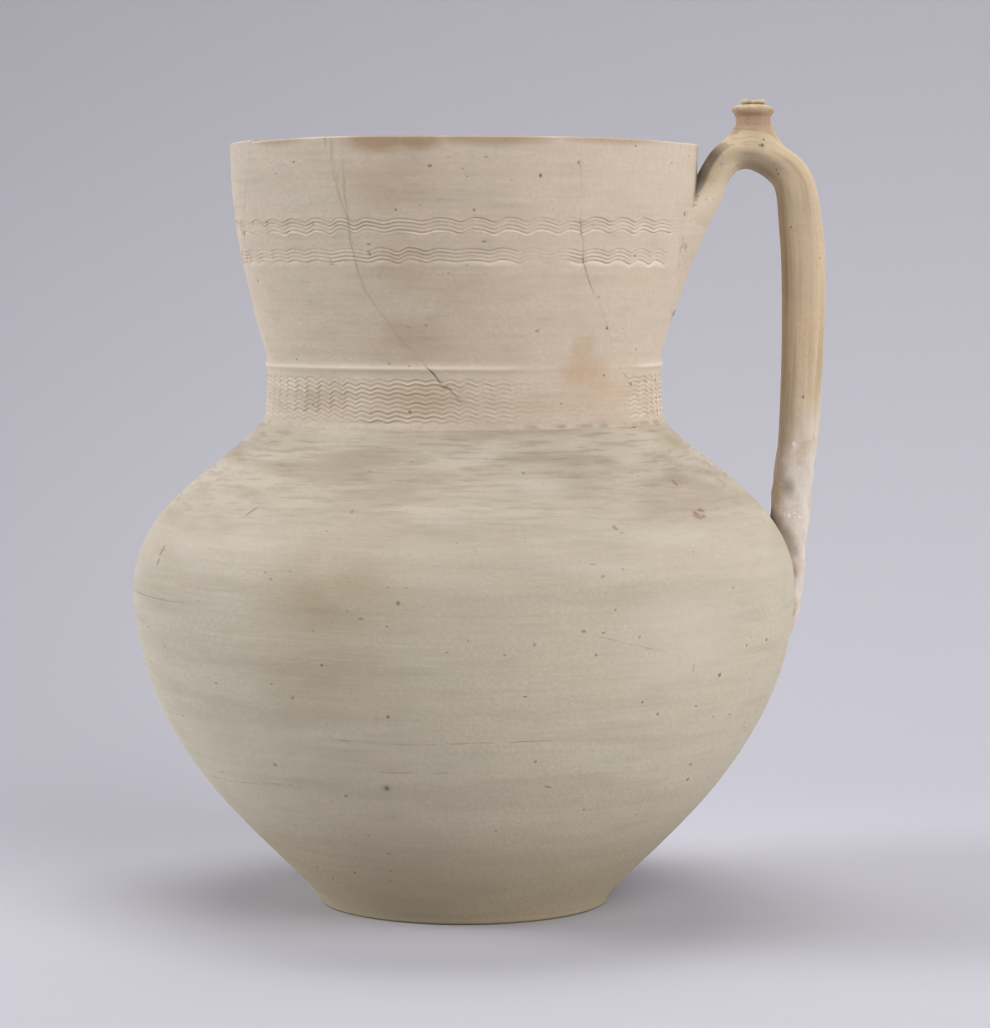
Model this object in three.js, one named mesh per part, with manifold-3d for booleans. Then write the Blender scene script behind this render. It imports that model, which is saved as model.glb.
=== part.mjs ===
// Unglazed earthenware ewer: a round body thrown in two halves, a flaring neck thrown apart and luted
// on top, a pulled strap handle and a small turned thumb rest. The neck was broken and mended, so it is
// three sherds and two plaster fills, and the handle's lower end is a plaster restoration.
// Millimetres, +Z up. The origin is the centre of the flat base, the handle is towards +X and the
// front is towards -Y.

import * as THREE from "three";
import { mergeVertices } from "three/addons/utils/BufferGeometryUtils.js";
import Module from "manifold-3d";

const wasm = await Module();
wasm.setup();

// Driving dimensions of the body
const BASE_RADIUS = 43.6;
const BASE_BEVEL = 0.8;
const FOOT_FLARE_OUT = 6;
const FOOT_FLARE_UP = 12.7;
const BELLY_RADIUS = 99;
const BELLY_HEIGHT = 95.4;
const BELLY_ROUND_BELOW = 52;
const BELLY_ROUND_ABOVE = 24.4;
const SHOULDER_RUN_OUT = 12.6;
const SHOULDER_RUN_DOWN = 13.8;
const SHOULDER_LEDGE = 0.8;
const SHOULDER_TOP_HEIGHT = 144.4;
const BODY_WALL = 5.8;
const FLOOR_THICKNESS = 8;

// Driving dimensions of the neck. Heights are measured up from its foot.
const NECK_FOOT_RADIUS = 59.7;
const NECK_WAIST_RADIUS = 59;
const NECK_WAIST_HEIGHT = 17.7;
const COLLAR_HOLLOW = 0.3;
const RIDGE_HEIGHT = 15.7;
const RIDGE_PROUD = 0.9;
const RIDGE_HALF_WIDTH = 1.6;
const NECK_HEIGHT = 80.8;
const RIM_RADIUS = 69.7;
const FLARE_START_OUT = 2.3;
const FLARE_START_UP = 9.5;
const FLARE_END_DOWN = 26;
const NECK_WALL = 5;
const RIM_WALL = 4.2;
const RIM_ROUND = 0.9;
const RIM_THINNING = 14;
const LUTING_THICKNESS = 1.1;
const LUTING_BEAD = 0.5;

// Cracks in the neck. Each row is a share of the neck's height, then degrees round from the front,
// with the handle at 90. A fill widens the crack to one side, by degrees at its open end.
const LEFT_CRACK = [[0, -92], [0.45, -80], [0.72, -71], [0.86, -65], [1, -62]];
const FRONT_CRACK = [
  [0, 7], [0.1, -0.6], [0.2, -10.5], [0.31, -18.5], [0.47, -26], [0.63, -28.7], [1, -29.6],
];
const RIGHT_CRACK = [
  [0, 63], [0.1, 58], [0.19, 49.4], [0.35, 41.2], [0.48, 34], [0.57, 30.7], [0.74, 28.6], [1, 27.8],
];
const RIM_FILL_DEPTH = 23;
const RIM_FILL_SPREAD = 5.6;
const COLLAR_FILL_HEIGHT = 27;
const COLLAR_FILL_SPREAD = 43;
const FILL_TIP = 3;
const CRACK_GAP = 0.3;

// Driving dimensions of the handle, in its own upright plane. Reaches are measured out from the rim,
// standoffs out from the belly.
const ROOT_BELOW_RIM = 41;
const ROOT_SINK = 5.6;
const LEG_BELOW_RIM = 15.7;
const LEG_REACH = 2.3;
const UPPER_LEG_BELOW_RIM = 8.2;
const UPPER_LEG_REACH = 5.5;
const BEND_BELOW_RIM = 3.2;
const BEND_REACH = 10;
const ARCH_BELOW_RIM = 2.4;
const ARCH_REACH = 16.6;
const ELBOW_BELOW_RIM = 9;
const ELBOW_REACH = 27.6;
const UPPER_GRIP_BELOW_RIM = 25.3;
const UPPER_GRIP_STANDOFF = 1.8;
const GRIP_BELOW_RIM = 44;
const GRIP_STANDOFF = 2.7;
const FOOT_BELOW_SHOULDER = 4.5;
const FOOT_STANDOFF = 1.3;
const TOE_ABOVE_BELLY = 26.6;
const TOE_INSET = 0.8;
const STRAP_WIDTH = 16.5;
const ROOT_THICKNESS = 7.5;
const LEG_THICKNESS = 9.2;
const ARCH_THICKNESS = 10;
const ELBOW_THICKNESS = 11.6;
const GRIP_THICKNESS = 13.1;
const FOOT_THICKNESS = 11.8;
const SECTION_SQUARENESS = 2.5;
const BREAK_BELOW_SHOULDER = 4.7;

// Clay and plaster round the handle's two ends
const ROOT_WAD_PROUD = 1.5;
const ROOT_WAD_BED = 0.4;
const ROOT_WAD_HALF_WIDTH = 19;
const ROOT_WAD_HALF_HEIGHT = 16;
const ROOT_WAD_BELOW_RIM = 32.5;
const TONGUE_BELOW_BELLY = 21;
const TONGUE_PROUD = 5.4;
const TONGUE_TIP_PROUD = 0.8;
const TONGUE_THICKNESS = 6;
const TONGUE_HALF_WIDTH = 10;
const TONGUE_TAPER = 0.8;
const TONGUE_LEAVES_STRAP = 0.08;
const TONGUE_LIES_FLAT = 0.55;

// Thumb rest, from the seat upwards
const REST_SEAT_ABOVE_ARCH = 7.5;
const REST_STEM_RADIUS = 5.4;
const REST_STEM_HEIGHT = 4.4;
const REST_FLANGE_RADIUS = 6.2;
const REST_FLANGE_THICKNESS = 2.5;
const REST_GROOVE_RADIUS = 3.3;
const REST_GROOVE_HEIGHT = 0.6;
const REST_BUTTON_RADIUS = 3.9;
const REST_BUTTON_THICKNESS = 1.2;
const REST_WAD_TOP_RADIUS = 5.8;
const REST_WAD_FOOT_RADIUS = 8;
const REST_WAD_DEPTH = 6.5;

// Clearance between pieces that were luted or glued, and the fineness of the facets
const JOINT_GAP = 0.3;
const ROUND_STEPS = 48;
const SMALL_ROUND_STEPS = 24;
const CURVE_STEPS = 10;
const STRAP_STEPS = 4;
const SECTION_STEPS = 16;

const SHOULDER_TOP_RADIUS = NECK_FOOT_RADIUS + SHOULDER_LEDGE;
const NECK_FOOT = SHOULDER_TOP_HEIGHT + LUTING_THICKNESS + 2 * JOINT_GAP;
const RIM_HEIGHT = NECK_FOOT + NECK_HEIGHT;
const ARCH_X = RIM_RADIUS + ARCH_REACH;
const ARCH_Z = RIM_HEIGHT - ARCH_BELOW_RIM;
const REST_SEAT = ARCH_Z + REST_SEAT_ABOVE_ARCH;
const radians = THREE.MathUtils.degToRad;
const point = (radius, height) => new THREE.Vector2(radius, height);

// Colours of the fired clays and the plasters
const BODY_CLAY = 0xc3b597;
const NECK_CLAY = 0xc2b096;
const HANDLE_CLAY = 0xc0a987;
const LUTING_CLAY = 0xa8977c;
const TONED_FILL = 0xc4a884;
const PALE_PLASTER = 0xcfc4b2;
const MATT_ROUGHNESS = 0.9;

// Closed solids for cutting

const WELD_DISTANCE = 1e-3;

function solidOf(geometry) {
  const bare = new THREE.BufferGeometry().setAttribute("position", geometry.getAttribute("position"));
  bare.setIndex(geometry.getIndex());
  const merged = mergeVertices(bare, WELD_DISTANCE);
  return new wasm.Manifold(new wasm.Mesh({
    numProp: 3,
    vertProperties: merged.getAttribute("position").array,
    triVerts: new Uint32Array(merged.getIndex().array),
  }));
}

function geometryOf(solid) {
  const mesh = solid.getMesh();
  const geometry = new THREE.BufferGeometry();
  geometry.setAttribute("position", new THREE.BufferAttribute(mesh.vertProperties, mesh.numProp));
  geometry.setIndex(new THREE.BufferAttribute(mesh.triVerts, 1));
  return geometry;
}

function cutAway(geometry, ...tools) {
  return geometryOf(tools.reduce((rest, tool) => rest.subtract(solidOf(tool)), solidOf(geometry)));
}

// Turned outlines, as lists of radius and height from the foot upwards

// Moves an outline along its own normals, inwards where the distance is negative. Its two ends move level.
function offsetOutline(outline, distance) {
  return outline.map((here, index) => {
    if (index === 0 || index === outline.length - 1) return point(here.x + distance, here.y);
    const along = outline[index + 1].clone().sub(outline[index - 1]).normalize();
    return point(here.x + along.y * distance, here.y - along.x * distance);
  });
}

// The radius of an outline at a height, between its nearest two points.
function radiusAt(outline, height) {
  const above = outline.findIndex((here) => here.y >= height);
  if (above <= 0) return outline[above === 0 ? 0 : outline.length - 1].x;
  const [low, high] = [outline[above - 1], outline[above]];
  return THREE.MathUtils.mapLinear(height, low.y, high.y, low.x, high.x);
}

function lowerBodyOutline() {
  return new THREE.CubicBezierCurve(
    point(BASE_RADIUS, BASE_BEVEL),
    point(BASE_RADIUS + FOOT_FLARE_OUT, BASE_BEVEL + FOOT_FLARE_UP),
    point(BELLY_RADIUS, BELLY_HEIGHT - BELLY_ROUND_BELOW),
    point(BELLY_RADIUS, BELLY_HEIGHT),
  ).getPoints(CURVE_STEPS);
}

function shoulderOutline() {
  return new THREE.CubicBezierCurve(
    point(BELLY_RADIUS, BELLY_HEIGHT + JOINT_GAP),
    point(BELLY_RADIUS, BELLY_HEIGHT + BELLY_ROUND_ABOVE),
    point(SHOULDER_TOP_RADIUS + SHOULDER_RUN_OUT, SHOULDER_TOP_HEIGHT - SHOULDER_RUN_DOWN),
    point(SHOULDER_TOP_RADIUS, SHOULDER_TOP_HEIGHT),
  ).getPoints(CURVE_STEPS);
}

// The neck's outside, with the thrown ridge standing out of the collar just below the waist.
function neckOutline() {
  const ridge = [-1, 0, 1].map((side) => point(
    THREE.MathUtils.lerp(NECK_FOOT_RADIUS, NECK_WAIST_RADIUS, RIDGE_HEIGHT / NECK_WAIST_HEIGHT)
      + (side === 0 ? RIDGE_PROUD : 0),
    NECK_FOOT + RIDGE_HEIGHT + side * RIDGE_HALF_WIDTH,
  ));
  const flare = new THREE.CubicBezierCurve(
    point(NECK_WAIST_RADIUS, NECK_FOOT + NECK_WAIST_HEIGHT),
    point(NECK_WAIST_RADIUS + FLARE_START_OUT, NECK_FOOT + NECK_WAIST_HEIGHT + FLARE_START_UP),
    point(RIM_RADIUS, RIM_HEIGHT - FLARE_END_DOWN),
    point(RIM_RADIUS, RIM_HEIGHT - RIM_ROUND),
  ).getPoints(CURVE_STEPS);
  const collar = point((NECK_FOOT_RADIUS + ridge[0].x) / 2 - COLLAR_HOLLOW, NECK_FOOT + RIDGE_HEIGHT / 2);
  const above = flare.filter((here) => here.y > ridge[2].y);
  return [point(NECK_FOOT_RADIUS, NECK_FOOT), collar, ...ridge, ...above];
}

const LOWER_BODY = lowerBodyOutline();
const SHOULDER = shoulderOutline();
const NECK = neckOutline();
const BODY = [...LOWER_BODY, ...SHOULDER];

function turned(section, steps = ROUND_STEPS) {
  return new THREE.LatheGeometry(section, steps).rotateX(Math.PI / 2);
}

// A solid of everything inside an outline, grown by the joint's clearance, for fitting pieces against it.
function envelope(outline) {
  const grown = offsetOutline(outline, JOINT_GAP);
  const foot = grown[0].y - JOINT_GAP;
  const top = grown[grown.length - 1].y + JOINT_GAP;
  return turned([
    point(0, foot), point(grown[0].x, foot), ...grown, point(grown[grown.length - 1].x, top), point(0, top),
  ]);
}

// The body

function lowerBody() {
  const inside = offsetOutline(LOWER_BODY, -BODY_WALL);
  const wall = inside.filter((here) => here.y > FLOOR_THICKNESS).reverse();
  return turned([
    point(0, 0),
    point(BASE_RADIUS - BASE_BEVEL, 0),
    ...LOWER_BODY,
    ...wall,
    point(radiusAt(inside, FLOOR_THICKNESS), FLOOR_THICKNESS),
    point(0, FLOOR_THICKNESS),
  ]);
}

// The shoulder's top is a flat seat, as wide as the neck's foot.
function shoulder() {
  const lip = NECK_FOOT_RADIUS - NECK_WALL;
  const underLip = SHOULDER_TOP_HEIGHT - BODY_WALL / 2;
  const inside = offsetOutline(SHOULDER, -BODY_WALL);
  const wall = inside.filter((here) => here.x > lip && here.y < underLip).reverse();
  const section = [...SHOULDER, point(lip, SHOULDER_TOP_HEIGHT), point(lip, underLip), ...wall];
  return turned([...section, section[0]]);
}

// Slip that beds the neck on the shoulder, squeezed out a little all round.
function neckLuting() {
  const inner = NECK_FOOT_RADIUS - NECK_WALL;
  const foot = SHOULDER_TOP_HEIGHT + JOINT_GAP;
  const top = foot + LUTING_THICKNESS;
  const section = [
    point(inner, foot),
    point(SHOULDER_TOP_RADIUS, foot),
    point(SHOULDER_TOP_RADIUS + LUTING_BEAD, (foot + top) / 2),
    point(NECK_FOOT_RADIUS, top),
    point(inner, top),
  ];
  return turned([...section, section[0]]);
}

// The mended neck

// The crack's angle at a height, in radians, between the rows of its table.
function crackAngle(crack, height) {
  const share = (height - NECK_FOOT) / NECK_HEIGHT;
  const above = crack.findIndex((row) => row[0] >= share);
  if (above === -1) return radians(crack[crack.length - 1][1]);
  if (above === 0) return radians(crack[0][1]);
  const [low, high] = [crack[above - 1], crack[above]];
  return radians(THREE.MathUtils.mapLinear(share, low[0], high[0], low[1], high[1]));
}

const RIM_FILL_FOOT = RIM_HEIGHT - RIM_FILL_DEPTH;
const COLLAR_FILL_TOP = NECK_FOOT + COLLAR_FILL_HEIGHT;

// How far each fill pushes the sherd on its left away from the crack.
function rimFillSpread(height) {
  const share = THREE.MathUtils.clamp((height - RIM_FILL_FOOT) / RIM_FILL_DEPTH, 0, 1);
  return radians(RIM_FILL_SPREAD) * share;
}

function collarFillSpread(height) {
  const share = THREE.MathUtils.clamp((COLLAR_FILL_TOP - height) / COLLAR_FILL_HEIGHT, 0, 1);
  return radians(COLLAR_FILL_SPREAD) * share;
}

const frontCrack = (height) => crackAngle(FRONT_CRACK, height);
const rimFillEdge = (height) => frontCrack(height) - rimFillSpread(height);
const rightCrack = (height) => crackAngle(RIGHT_CRACK, height);
const collarFillEdge = (height) => rightCrack(height) - collarFillSpread(height);
const leftCrack = (height) => crackAngle(LEFT_CRACK, height);

// The wall thins towards the rim.
function neckWallAt(height) {
  const share = THREE.MathUtils.smoothstep(height, RIM_HEIGHT - RIM_THINNING, RIM_HEIGHT - RIM_ROUND);
  return THREE.MathUtils.lerp(NECK_WALL, RIM_WALL, share);
}

// Heights that all the neck's pieces share, so that their broken edges run side by side.
function neckHeights(from, to) {
  const turnedHeights = NECK.map((here) => here.y);
  const heights = [...turnedHeights, RIM_FILL_FOOT, COLLAR_FILL_TOP].filter((y) => y > from && y < to);
  const sorted = [from, ...heights.sort((low, high) => low - high), to];
  const least = JOINT_GAP;
  return sorted.filter((y, index) => index === 0 || index === sorted.length - 1
    || (y - sorted[index - 1] > least && to - y > least));
}

// The closed section of the neck's wall between two heights, with the rim's rounding if it reaches it.
function neckSection(from, to) {
  const heights = neckHeights(from, to);
  const outside = heights.map((y) => point(radiusAt(NECK, y), y));
  const inside = heights.map((y) => point(radiusAt(NECK, y) - neckWallAt(y), y)).reverse();
  const reachesRim = to > RIM_HEIGHT - 2 * RIM_ROUND;
  const rim = reachesRim
    ? [point(RIM_RADIUS - RIM_ROUND, RIM_HEIGHT), point(RIM_RADIUS - RIM_WALL + RIM_ROUND, RIM_HEIGHT)]
    : [];
  return [...outside, ...rim, ...inside];
}

// A piece of turned wall between two broken edges, each given as an angle at every height. The edges are
// closed rung by rung from the outside to the inside, so that they stay level across the wall.
function wallPiece(section, startEdge, endEdge) {
  const gapAngle = (corner) => CRACK_GAP / 2 / corner.x;
  const spans = section.map((corner) => endEdge(corner.y) - startEdge(corner.y));
  const steps = Math.max(2, Math.ceil(Math.max(...spans) / (2 * Math.PI / ROUND_STEPS)));
  const positions = [];
  for (let step = 0; step <= steps; step += 1) {
    for (const corner of section) {
      const start = startEdge(corner.y) + gapAngle(corner);
      const end = endEdge(corner.y) - gapAngle(corner);
      const angle = THREE.MathUtils.lerp(start, end, step / steps);
      positions.push(corner.x * Math.sin(angle), -corner.x * Math.cos(angle), corner.y);
    }
  }
  const count = section.length;
  const faces = [];
  for (let step = 0; step < steps; step += 1) {
    for (let corner = 0; corner < count; corner += 1) {
      const next = (corner + 1) % count;
      const [a, b] = [step * count + corner, (step + 1) * count + corner];
      const [c, d] = [(step + 1) * count + next, step * count + next];
      faces.push(a, b, c, a, c, d);
    }
  }
  const last = steps * count;
  for (let rung = 0; rung < count / 2 - 1; rung += 1) {
    const [a, b, c, d] = [rung, rung + 1, count - 2 - rung, count - 1 - rung];
    faces.push(a, b, c, a, c, d);
    faces.push(last + a, last + c, last + b, last + a, last + d, last + c);
  }
  const geometry = new THREE.BufferGeometry();
  geometry.setAttribute("position", new THREE.Float32BufferAttribute(positions, 3));
  return geometry.setIndex(faces);
}

const wholeNeck = () => neckSection(NECK_FOOT, RIM_HEIGHT - RIM_ROUND);
const fullTurn = (edge) => (height) => edge(height) + 2 * Math.PI;

const leftSherd = () => wallPiece(wholeNeck(), leftCrack, rimFillEdge);
const frontSherd = () => wallPiece(wholeNeck(), frontCrack, collarFillEdge);
const handleSherd = () => wallPiece(wholeNeck(), rightCrack, fullTurn(leftCrack));

// Each fill stops short of its tip, where the crack is too narrow to hold plaster.
const rimFill = () => wallPiece(
  neckSection(RIM_FILL_FOOT + FILL_TIP, RIM_HEIGHT - RIM_ROUND), rimFillEdge, frontCrack,
);
const collarFill = () => wallPiece(
  neckSection(NECK_FOOT, COLLAR_FILL_TOP - FILL_TIP), collarFillEdge, rightCrack,
);

// The handle

// Places along the strap's middle line, from inside the neck's wall over the arch and down to the shoulder:
// distance out, height and thickness.
function handleStations() {
  const rootHeight = RIM_HEIGHT - ROOT_BELOW_RIM;
  return [
    [radiusAt(NECK, rootHeight) - ROOT_SINK, rootHeight, ROOT_THICKNESS],
    [RIM_RADIUS + LEG_REACH, RIM_HEIGHT - LEG_BELOW_RIM, LEG_THICKNESS],
    [RIM_RADIUS + UPPER_LEG_REACH, RIM_HEIGHT - UPPER_LEG_BELOW_RIM, LEG_THICKNESS],
    [RIM_RADIUS + BEND_REACH, RIM_HEIGHT - BEND_BELOW_RIM, ARCH_THICKNESS],
    [ARCH_X, ARCH_Z, ARCH_THICKNESS],
    [RIM_RADIUS + ELBOW_REACH, RIM_HEIGHT - ELBOW_BELOW_RIM, ELBOW_THICKNESS],
    [BELLY_RADIUS + UPPER_GRIP_STANDOFF, RIM_HEIGHT - UPPER_GRIP_BELOW_RIM, GRIP_THICKNESS],
    [BELLY_RADIUS + GRIP_STANDOFF, RIM_HEIGHT - GRIP_BELOW_RIM, GRIP_THICKNESS],
    [BELLY_RADIUS + FOOT_STANDOFF, SHOULDER_TOP_HEIGHT - FOOT_BELOW_SHOULDER, FOOT_THICKNESS],
    [BELLY_RADIUS - TOE_INSET, BELLY_HEIGHT + TOE_ABOVE_BELLY, FOOT_THICKNESS],
  ];
}

const STATIONS = handleStations();
const HANDLE = new THREE.CatmullRomCurve3(
  STATIONS.map(([x, z]) => new THREE.Vector3(x, 0, z)), false, "centripetal",
);

// The strap's thickness at a share of its path, between the nearest two stations.
function strapThickness(share) {
  const place = share * (STATIONS.length - 1);
  const low = Math.min(Math.floor(place), STATIONS.length - 2);
  return THREE.MathUtils.lerp(STATIONS[low][2], STATIONS[low + 1][2], place - low);
}

// A rounded strap section across the middle line, as a ring of points.
function strapRing(middle, along, thickness, width) {
  const across = new THREE.Vector3(0, 1, 0);
  const outwards = new THREE.Vector3().crossVectors(across, along).normalize();
  const power = 2 / SECTION_SQUARENESS;
  const rounded = (value) => Math.sign(value) * Math.abs(value) ** power;
  return Array.from({ length: SECTION_STEPS }, (_, step) => {
    const angle = (step / SECTION_STEPS) * 2 * Math.PI;
    return middle.clone()
      .addScaledVector(outwards, rounded(Math.cos(angle)) * thickness / 2)
      .addScaledVector(across, rounded(Math.sin(angle)) * width / 2);
  });
}

// A closed solid through rings of equal count, with flat ends.
function lofted(rings) {
  const count = rings[0].length;
  const positions = rings.flat().flatMap((corner) => corner.toArray());
  const faces = [];
  for (let ring = 0; ring < rings.length - 1; ring += 1) {
    for (let corner = 0; corner < count; corner += 1) {
      const next = (corner + 1) % count;
      const [a, b] = [ring * count + corner, ring * count + next];
      const [c, d] = [(ring + 1) * count + next, (ring + 1) * count + corner];
      faces.push(a, b, c, a, c, d);
    }
  }
  const last = (rings.length - 1) * count;
  for (let corner = 1; corner < count - 1; corner += 1) {
    faces.push(0, corner + 1, corner, last, last + corner, last + corner + 1);
  }
  const geometry = new THREE.BufferGeometry();
  geometry.setAttribute("position", new THREE.Float32BufferAttribute(positions, 3));
  return geometry.setIndex(faces);
}

// The share of the path at which the strap, coming down from the arch, passes a height.
function shareAtHeight(height) {
  let [low, high] = [0.5, 1];
  for (let round = 0; round < 40; round += 1) {
    const middle = (low + high) / 2;
    if (HANDLE.getPoint(middle).z > height) low = middle;
    else high = middle;
  }
  return low;
}

// Rings of the strap between two shares of its path, grown all round if asked.
function strapRings(from, to, grow = 0) {
  const steps = Math.ceil((to - from) * (STATIONS.length - 1) * STRAP_STEPS);
  return Array.from({ length: steps + 1 }, (_, step) => {
    const share = THREE.MathUtils.lerp(from, to, step / steps);
    const [thickness, width] = [strapThickness(share) + 2 * grow, STRAP_WIDTH + 2 * grow];
    return strapRing(HANDLE.getPoint(share), HANDLE.getTangent(share), thickness, width);
  });
}

const BREAK_HEIGHT = SHOULDER_TOP_HEIGHT - BREAK_BELOW_SHOULDER;
const BREAK_SHARE = shareAtHeight(BREAK_HEIGHT);
const MEND_SHARE = shareAtHeight(BREAK_HEIGHT - JOINT_GAP);
const strap = () => lofted(strapRings(0, BREAK_SHARE));
const grownStrap = () => lofted(strapRings(0, BREAK_SHARE, JOINT_GAP));

const handleStrap = () => cutAway(strap(), envelope(NECK));

// Clay pressed flat round the strap's end, where it was luted to the neck: a low swelling of the neck's own
// outline, trimmed to an oval and fitted round the strap.
function handleRootWad() {
  const middle = RIM_HEIGHT - ROOT_WAD_BELOW_RIM;
  const swelling = Array.from({ length: CURVE_STEPS + 1 }, (_, step) => {
    const rise = THREE.MathUtils.lerp(-1, 1, step / CURVE_STEPS);
    const height = middle + rise * ROOT_WAD_HALF_HEIGHT;
    return point(radiusAt(NECK, height) + ROOT_WAD_PROUD * (1 - rise ** 2) - ROOT_WAD_BED, height);
  });
  const section = [point(0, swelling[0].y), ...swelling, point(0, swelling[CURVE_STEPS].y)];
  const oval = new THREE.SphereGeometry(1, SMALL_ROUND_STEPS, SMALL_ROUND_STEPS)
    .scale(RIM_RADIUS, ROOT_WAD_HALF_WIDTH, ROOT_WAD_HALF_HEIGHT)
    .translate(RIM_RADIUS, 0, middle);
  const patch = geometryOf(solidOf(turned(section)).intersect(solidOf(oval)));
  return cutAway(patch, envelope(NECK), grownStrap());
}

// The restored end: the strap's line carried on to the shoulder, then a tongue lying down the belly.
function restoredFoot() {
  const toe = HANDLE.getPoint(1);
  const tip = BELLY_HEIGHT - TONGUE_BELOW_BELLY;
  const tongueRings = Array.from({ length: CURVE_STEPS }, (_, step) => {
    const share = (step + 1) / CURVE_STEPS;
    const height = THREE.MathUtils.lerp(toe.z, tip, share);
    const settled = THREE.MathUtils.smoothstep(share, TONGUE_LEAVES_STRAP, TONGUE_LIES_FLAT);
    const proud = THREE.MathUtils.lerp(TONGUE_PROUD, TONGUE_TIP_PROUD, share);
    const lying = radiusAt(BODY, height) + proud;
    const outside = THREE.MathUtils.lerp(toe.x + FOOT_THICKNESS / 2, lying, settled);
    const thickness = THREE.MathUtils.lerp(FOOT_THICKNESS, TONGUE_THICKNESS, settled);
    const taper = Math.sqrt(1 - TONGUE_TAPER * share ** 3);
    const width = THREE.MathUtils.lerp(STRAP_WIDTH, 2 * TONGUE_HALF_WIDTH, settled) * taper;
    const middle = new THREE.Vector3(outside - thickness / 2, 0, height);
    return strapRing(middle, new THREE.Vector3(0, 0, -1), thickness, width);
  });
  return cutAway(lofted([...strapRings(MEND_SHARE, 1), ...tongueRings]), envelope(BODY));
}

// The thumb rest

function thumbRest() {
  const flangeFoot = REST_SEAT + REST_STEM_HEIGHT;
  const flangeTop = flangeFoot + REST_FLANGE_THICKNESS;
  const buttonFoot = flangeTop + REST_GROOVE_HEIGHT;
  const buttonTop = buttonFoot + REST_BUTTON_THICKNESS;
  const lip = REST_FLANGE_THICKNESS / 3;
  return turned([
    point(0, REST_SEAT),
    point(REST_STEM_RADIUS, REST_SEAT),
    point(REST_STEM_RADIUS, flangeFoot),
    point(REST_FLANGE_RADIUS, flangeFoot + lip),
    point(REST_FLANGE_RADIUS, flangeTop - lip),
    point(REST_FLANGE_RADIUS - lip, flangeTop),
    point(REST_GROOVE_RADIUS, flangeTop),
    point(REST_GROOVE_RADIUS, buttonFoot),
    point(REST_BUTTON_RADIUS, buttonFoot),
    point(REST_BUTTON_RADIUS, buttonTop),
    point(0, buttonTop),
  ], SMALL_ROUND_STEPS).translate(ARCH_X, 0, 0);
}

// Clay that beds the thumb rest astride the arch.
function thumbRestWad() {
  const top = REST_SEAT - JOINT_GAP;
  const foot = top - REST_WAD_DEPTH;
  const cone = turned([
    point(0, foot),
    point(REST_WAD_FOOT_RADIUS, foot),
    point(REST_WAD_TOP_RADIUS, top),
    point(0, top),
  ], SMALL_ROUND_STEPS).translate(ARCH_X, 0, 0);
  return cutAway(cone, grownStrap());
}

// The assembly

const ewer = new THREE.Group();

function add(name, geometry, color) {
  const material = new THREE.MeshStandardMaterial({ color, roughness: MATT_ROUGHNESS, metalness: 0 });
  const mesh = new THREE.Mesh(geometry, material);
  mesh.name = name;
  ewer.add(mesh);
}

add("lower_body", lowerBody(), BODY_CLAY);
add("shoulder", shoulder(), BODY_CLAY);
add("neck_luting", neckLuting(), LUTING_CLAY);
add("neck_left_sherd", leftSherd(), NECK_CLAY);
add("neck_front_sherd", frontSherd(), NECK_CLAY);
add("neck_handle_sherd", handleSherd(), NECK_CLAY);
add("rim_fill", rimFill(), TONED_FILL);
add("collar_fill", collarFill(), TONED_FILL);
add("handle_root_wad", handleRootWad(), HANDLE_CLAY);
add("handle_strap", handleStrap(), HANDLE_CLAY);
add("handle_restored_foot", restoredFoot(), PALE_PLASTER);
add("thumb_rest", thumbRest(), HANDLE_CLAY);
add("thumb_rest_wad", thumbRestWad(), HANDLE_CLAY);

export default ewer;
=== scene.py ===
"""Unglazed earthenware ewer: thrown in parts, broken and mended.

Makes the ewer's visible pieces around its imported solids, and a plain studio stage. Lengths are in metres,
heights are up from the table, and angles run round from the front, with the handle at 90 degrees.
"""

import math

import bpy
import numpy as np
from mathutils import Matrix, Vector


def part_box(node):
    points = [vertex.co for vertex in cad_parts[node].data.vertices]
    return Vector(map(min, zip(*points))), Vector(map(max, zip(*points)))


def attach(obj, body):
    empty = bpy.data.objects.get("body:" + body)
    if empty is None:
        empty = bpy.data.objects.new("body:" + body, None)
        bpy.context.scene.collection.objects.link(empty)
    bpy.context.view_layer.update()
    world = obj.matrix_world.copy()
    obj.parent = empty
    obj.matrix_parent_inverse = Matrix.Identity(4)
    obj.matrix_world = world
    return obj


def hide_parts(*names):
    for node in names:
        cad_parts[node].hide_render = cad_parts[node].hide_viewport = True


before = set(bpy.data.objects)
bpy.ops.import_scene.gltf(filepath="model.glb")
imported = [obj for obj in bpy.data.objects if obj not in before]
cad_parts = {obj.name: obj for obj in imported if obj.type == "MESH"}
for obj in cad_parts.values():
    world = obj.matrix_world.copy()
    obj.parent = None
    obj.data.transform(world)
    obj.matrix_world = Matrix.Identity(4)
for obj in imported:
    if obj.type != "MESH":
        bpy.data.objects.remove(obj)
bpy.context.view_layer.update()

bl_info = {
    "name": "Mended earthenware ewer",
    "version": (1, 0, 0),
    "blender": (4, 5, 0),
    "location": "View3D > Sidebar > Ewer",
    "description": "Makes the visible pieces of an unglazed, mended ewer around its solids",
    "category": "Add Mesh",
}

MM = 0.001
BODY = "root"


# Settings


def linear(code):
    """An sRGB hex colour as linear red, green and blue."""
    parts = [int(code[place:place + 2], 16) / 255 for place in (1, 3, 5)]
    return tuple(part / 12.92 if part <= 0.04045 else ((part + 0.055) / 1.055) ** 2.4 for part in parts)


def length(name, description, default):
    return bpy.props.FloatProperty(
        name=name, description=description, default=default, min=0.0, unit="LENGTH", precision=5)


def tint(name, description, code):
    return bpy.props.FloatVectorProperty(
        name=name, description=description, default=linear(code), subtype="COLOR", size=3, min=0.0, max=1.0)


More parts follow.
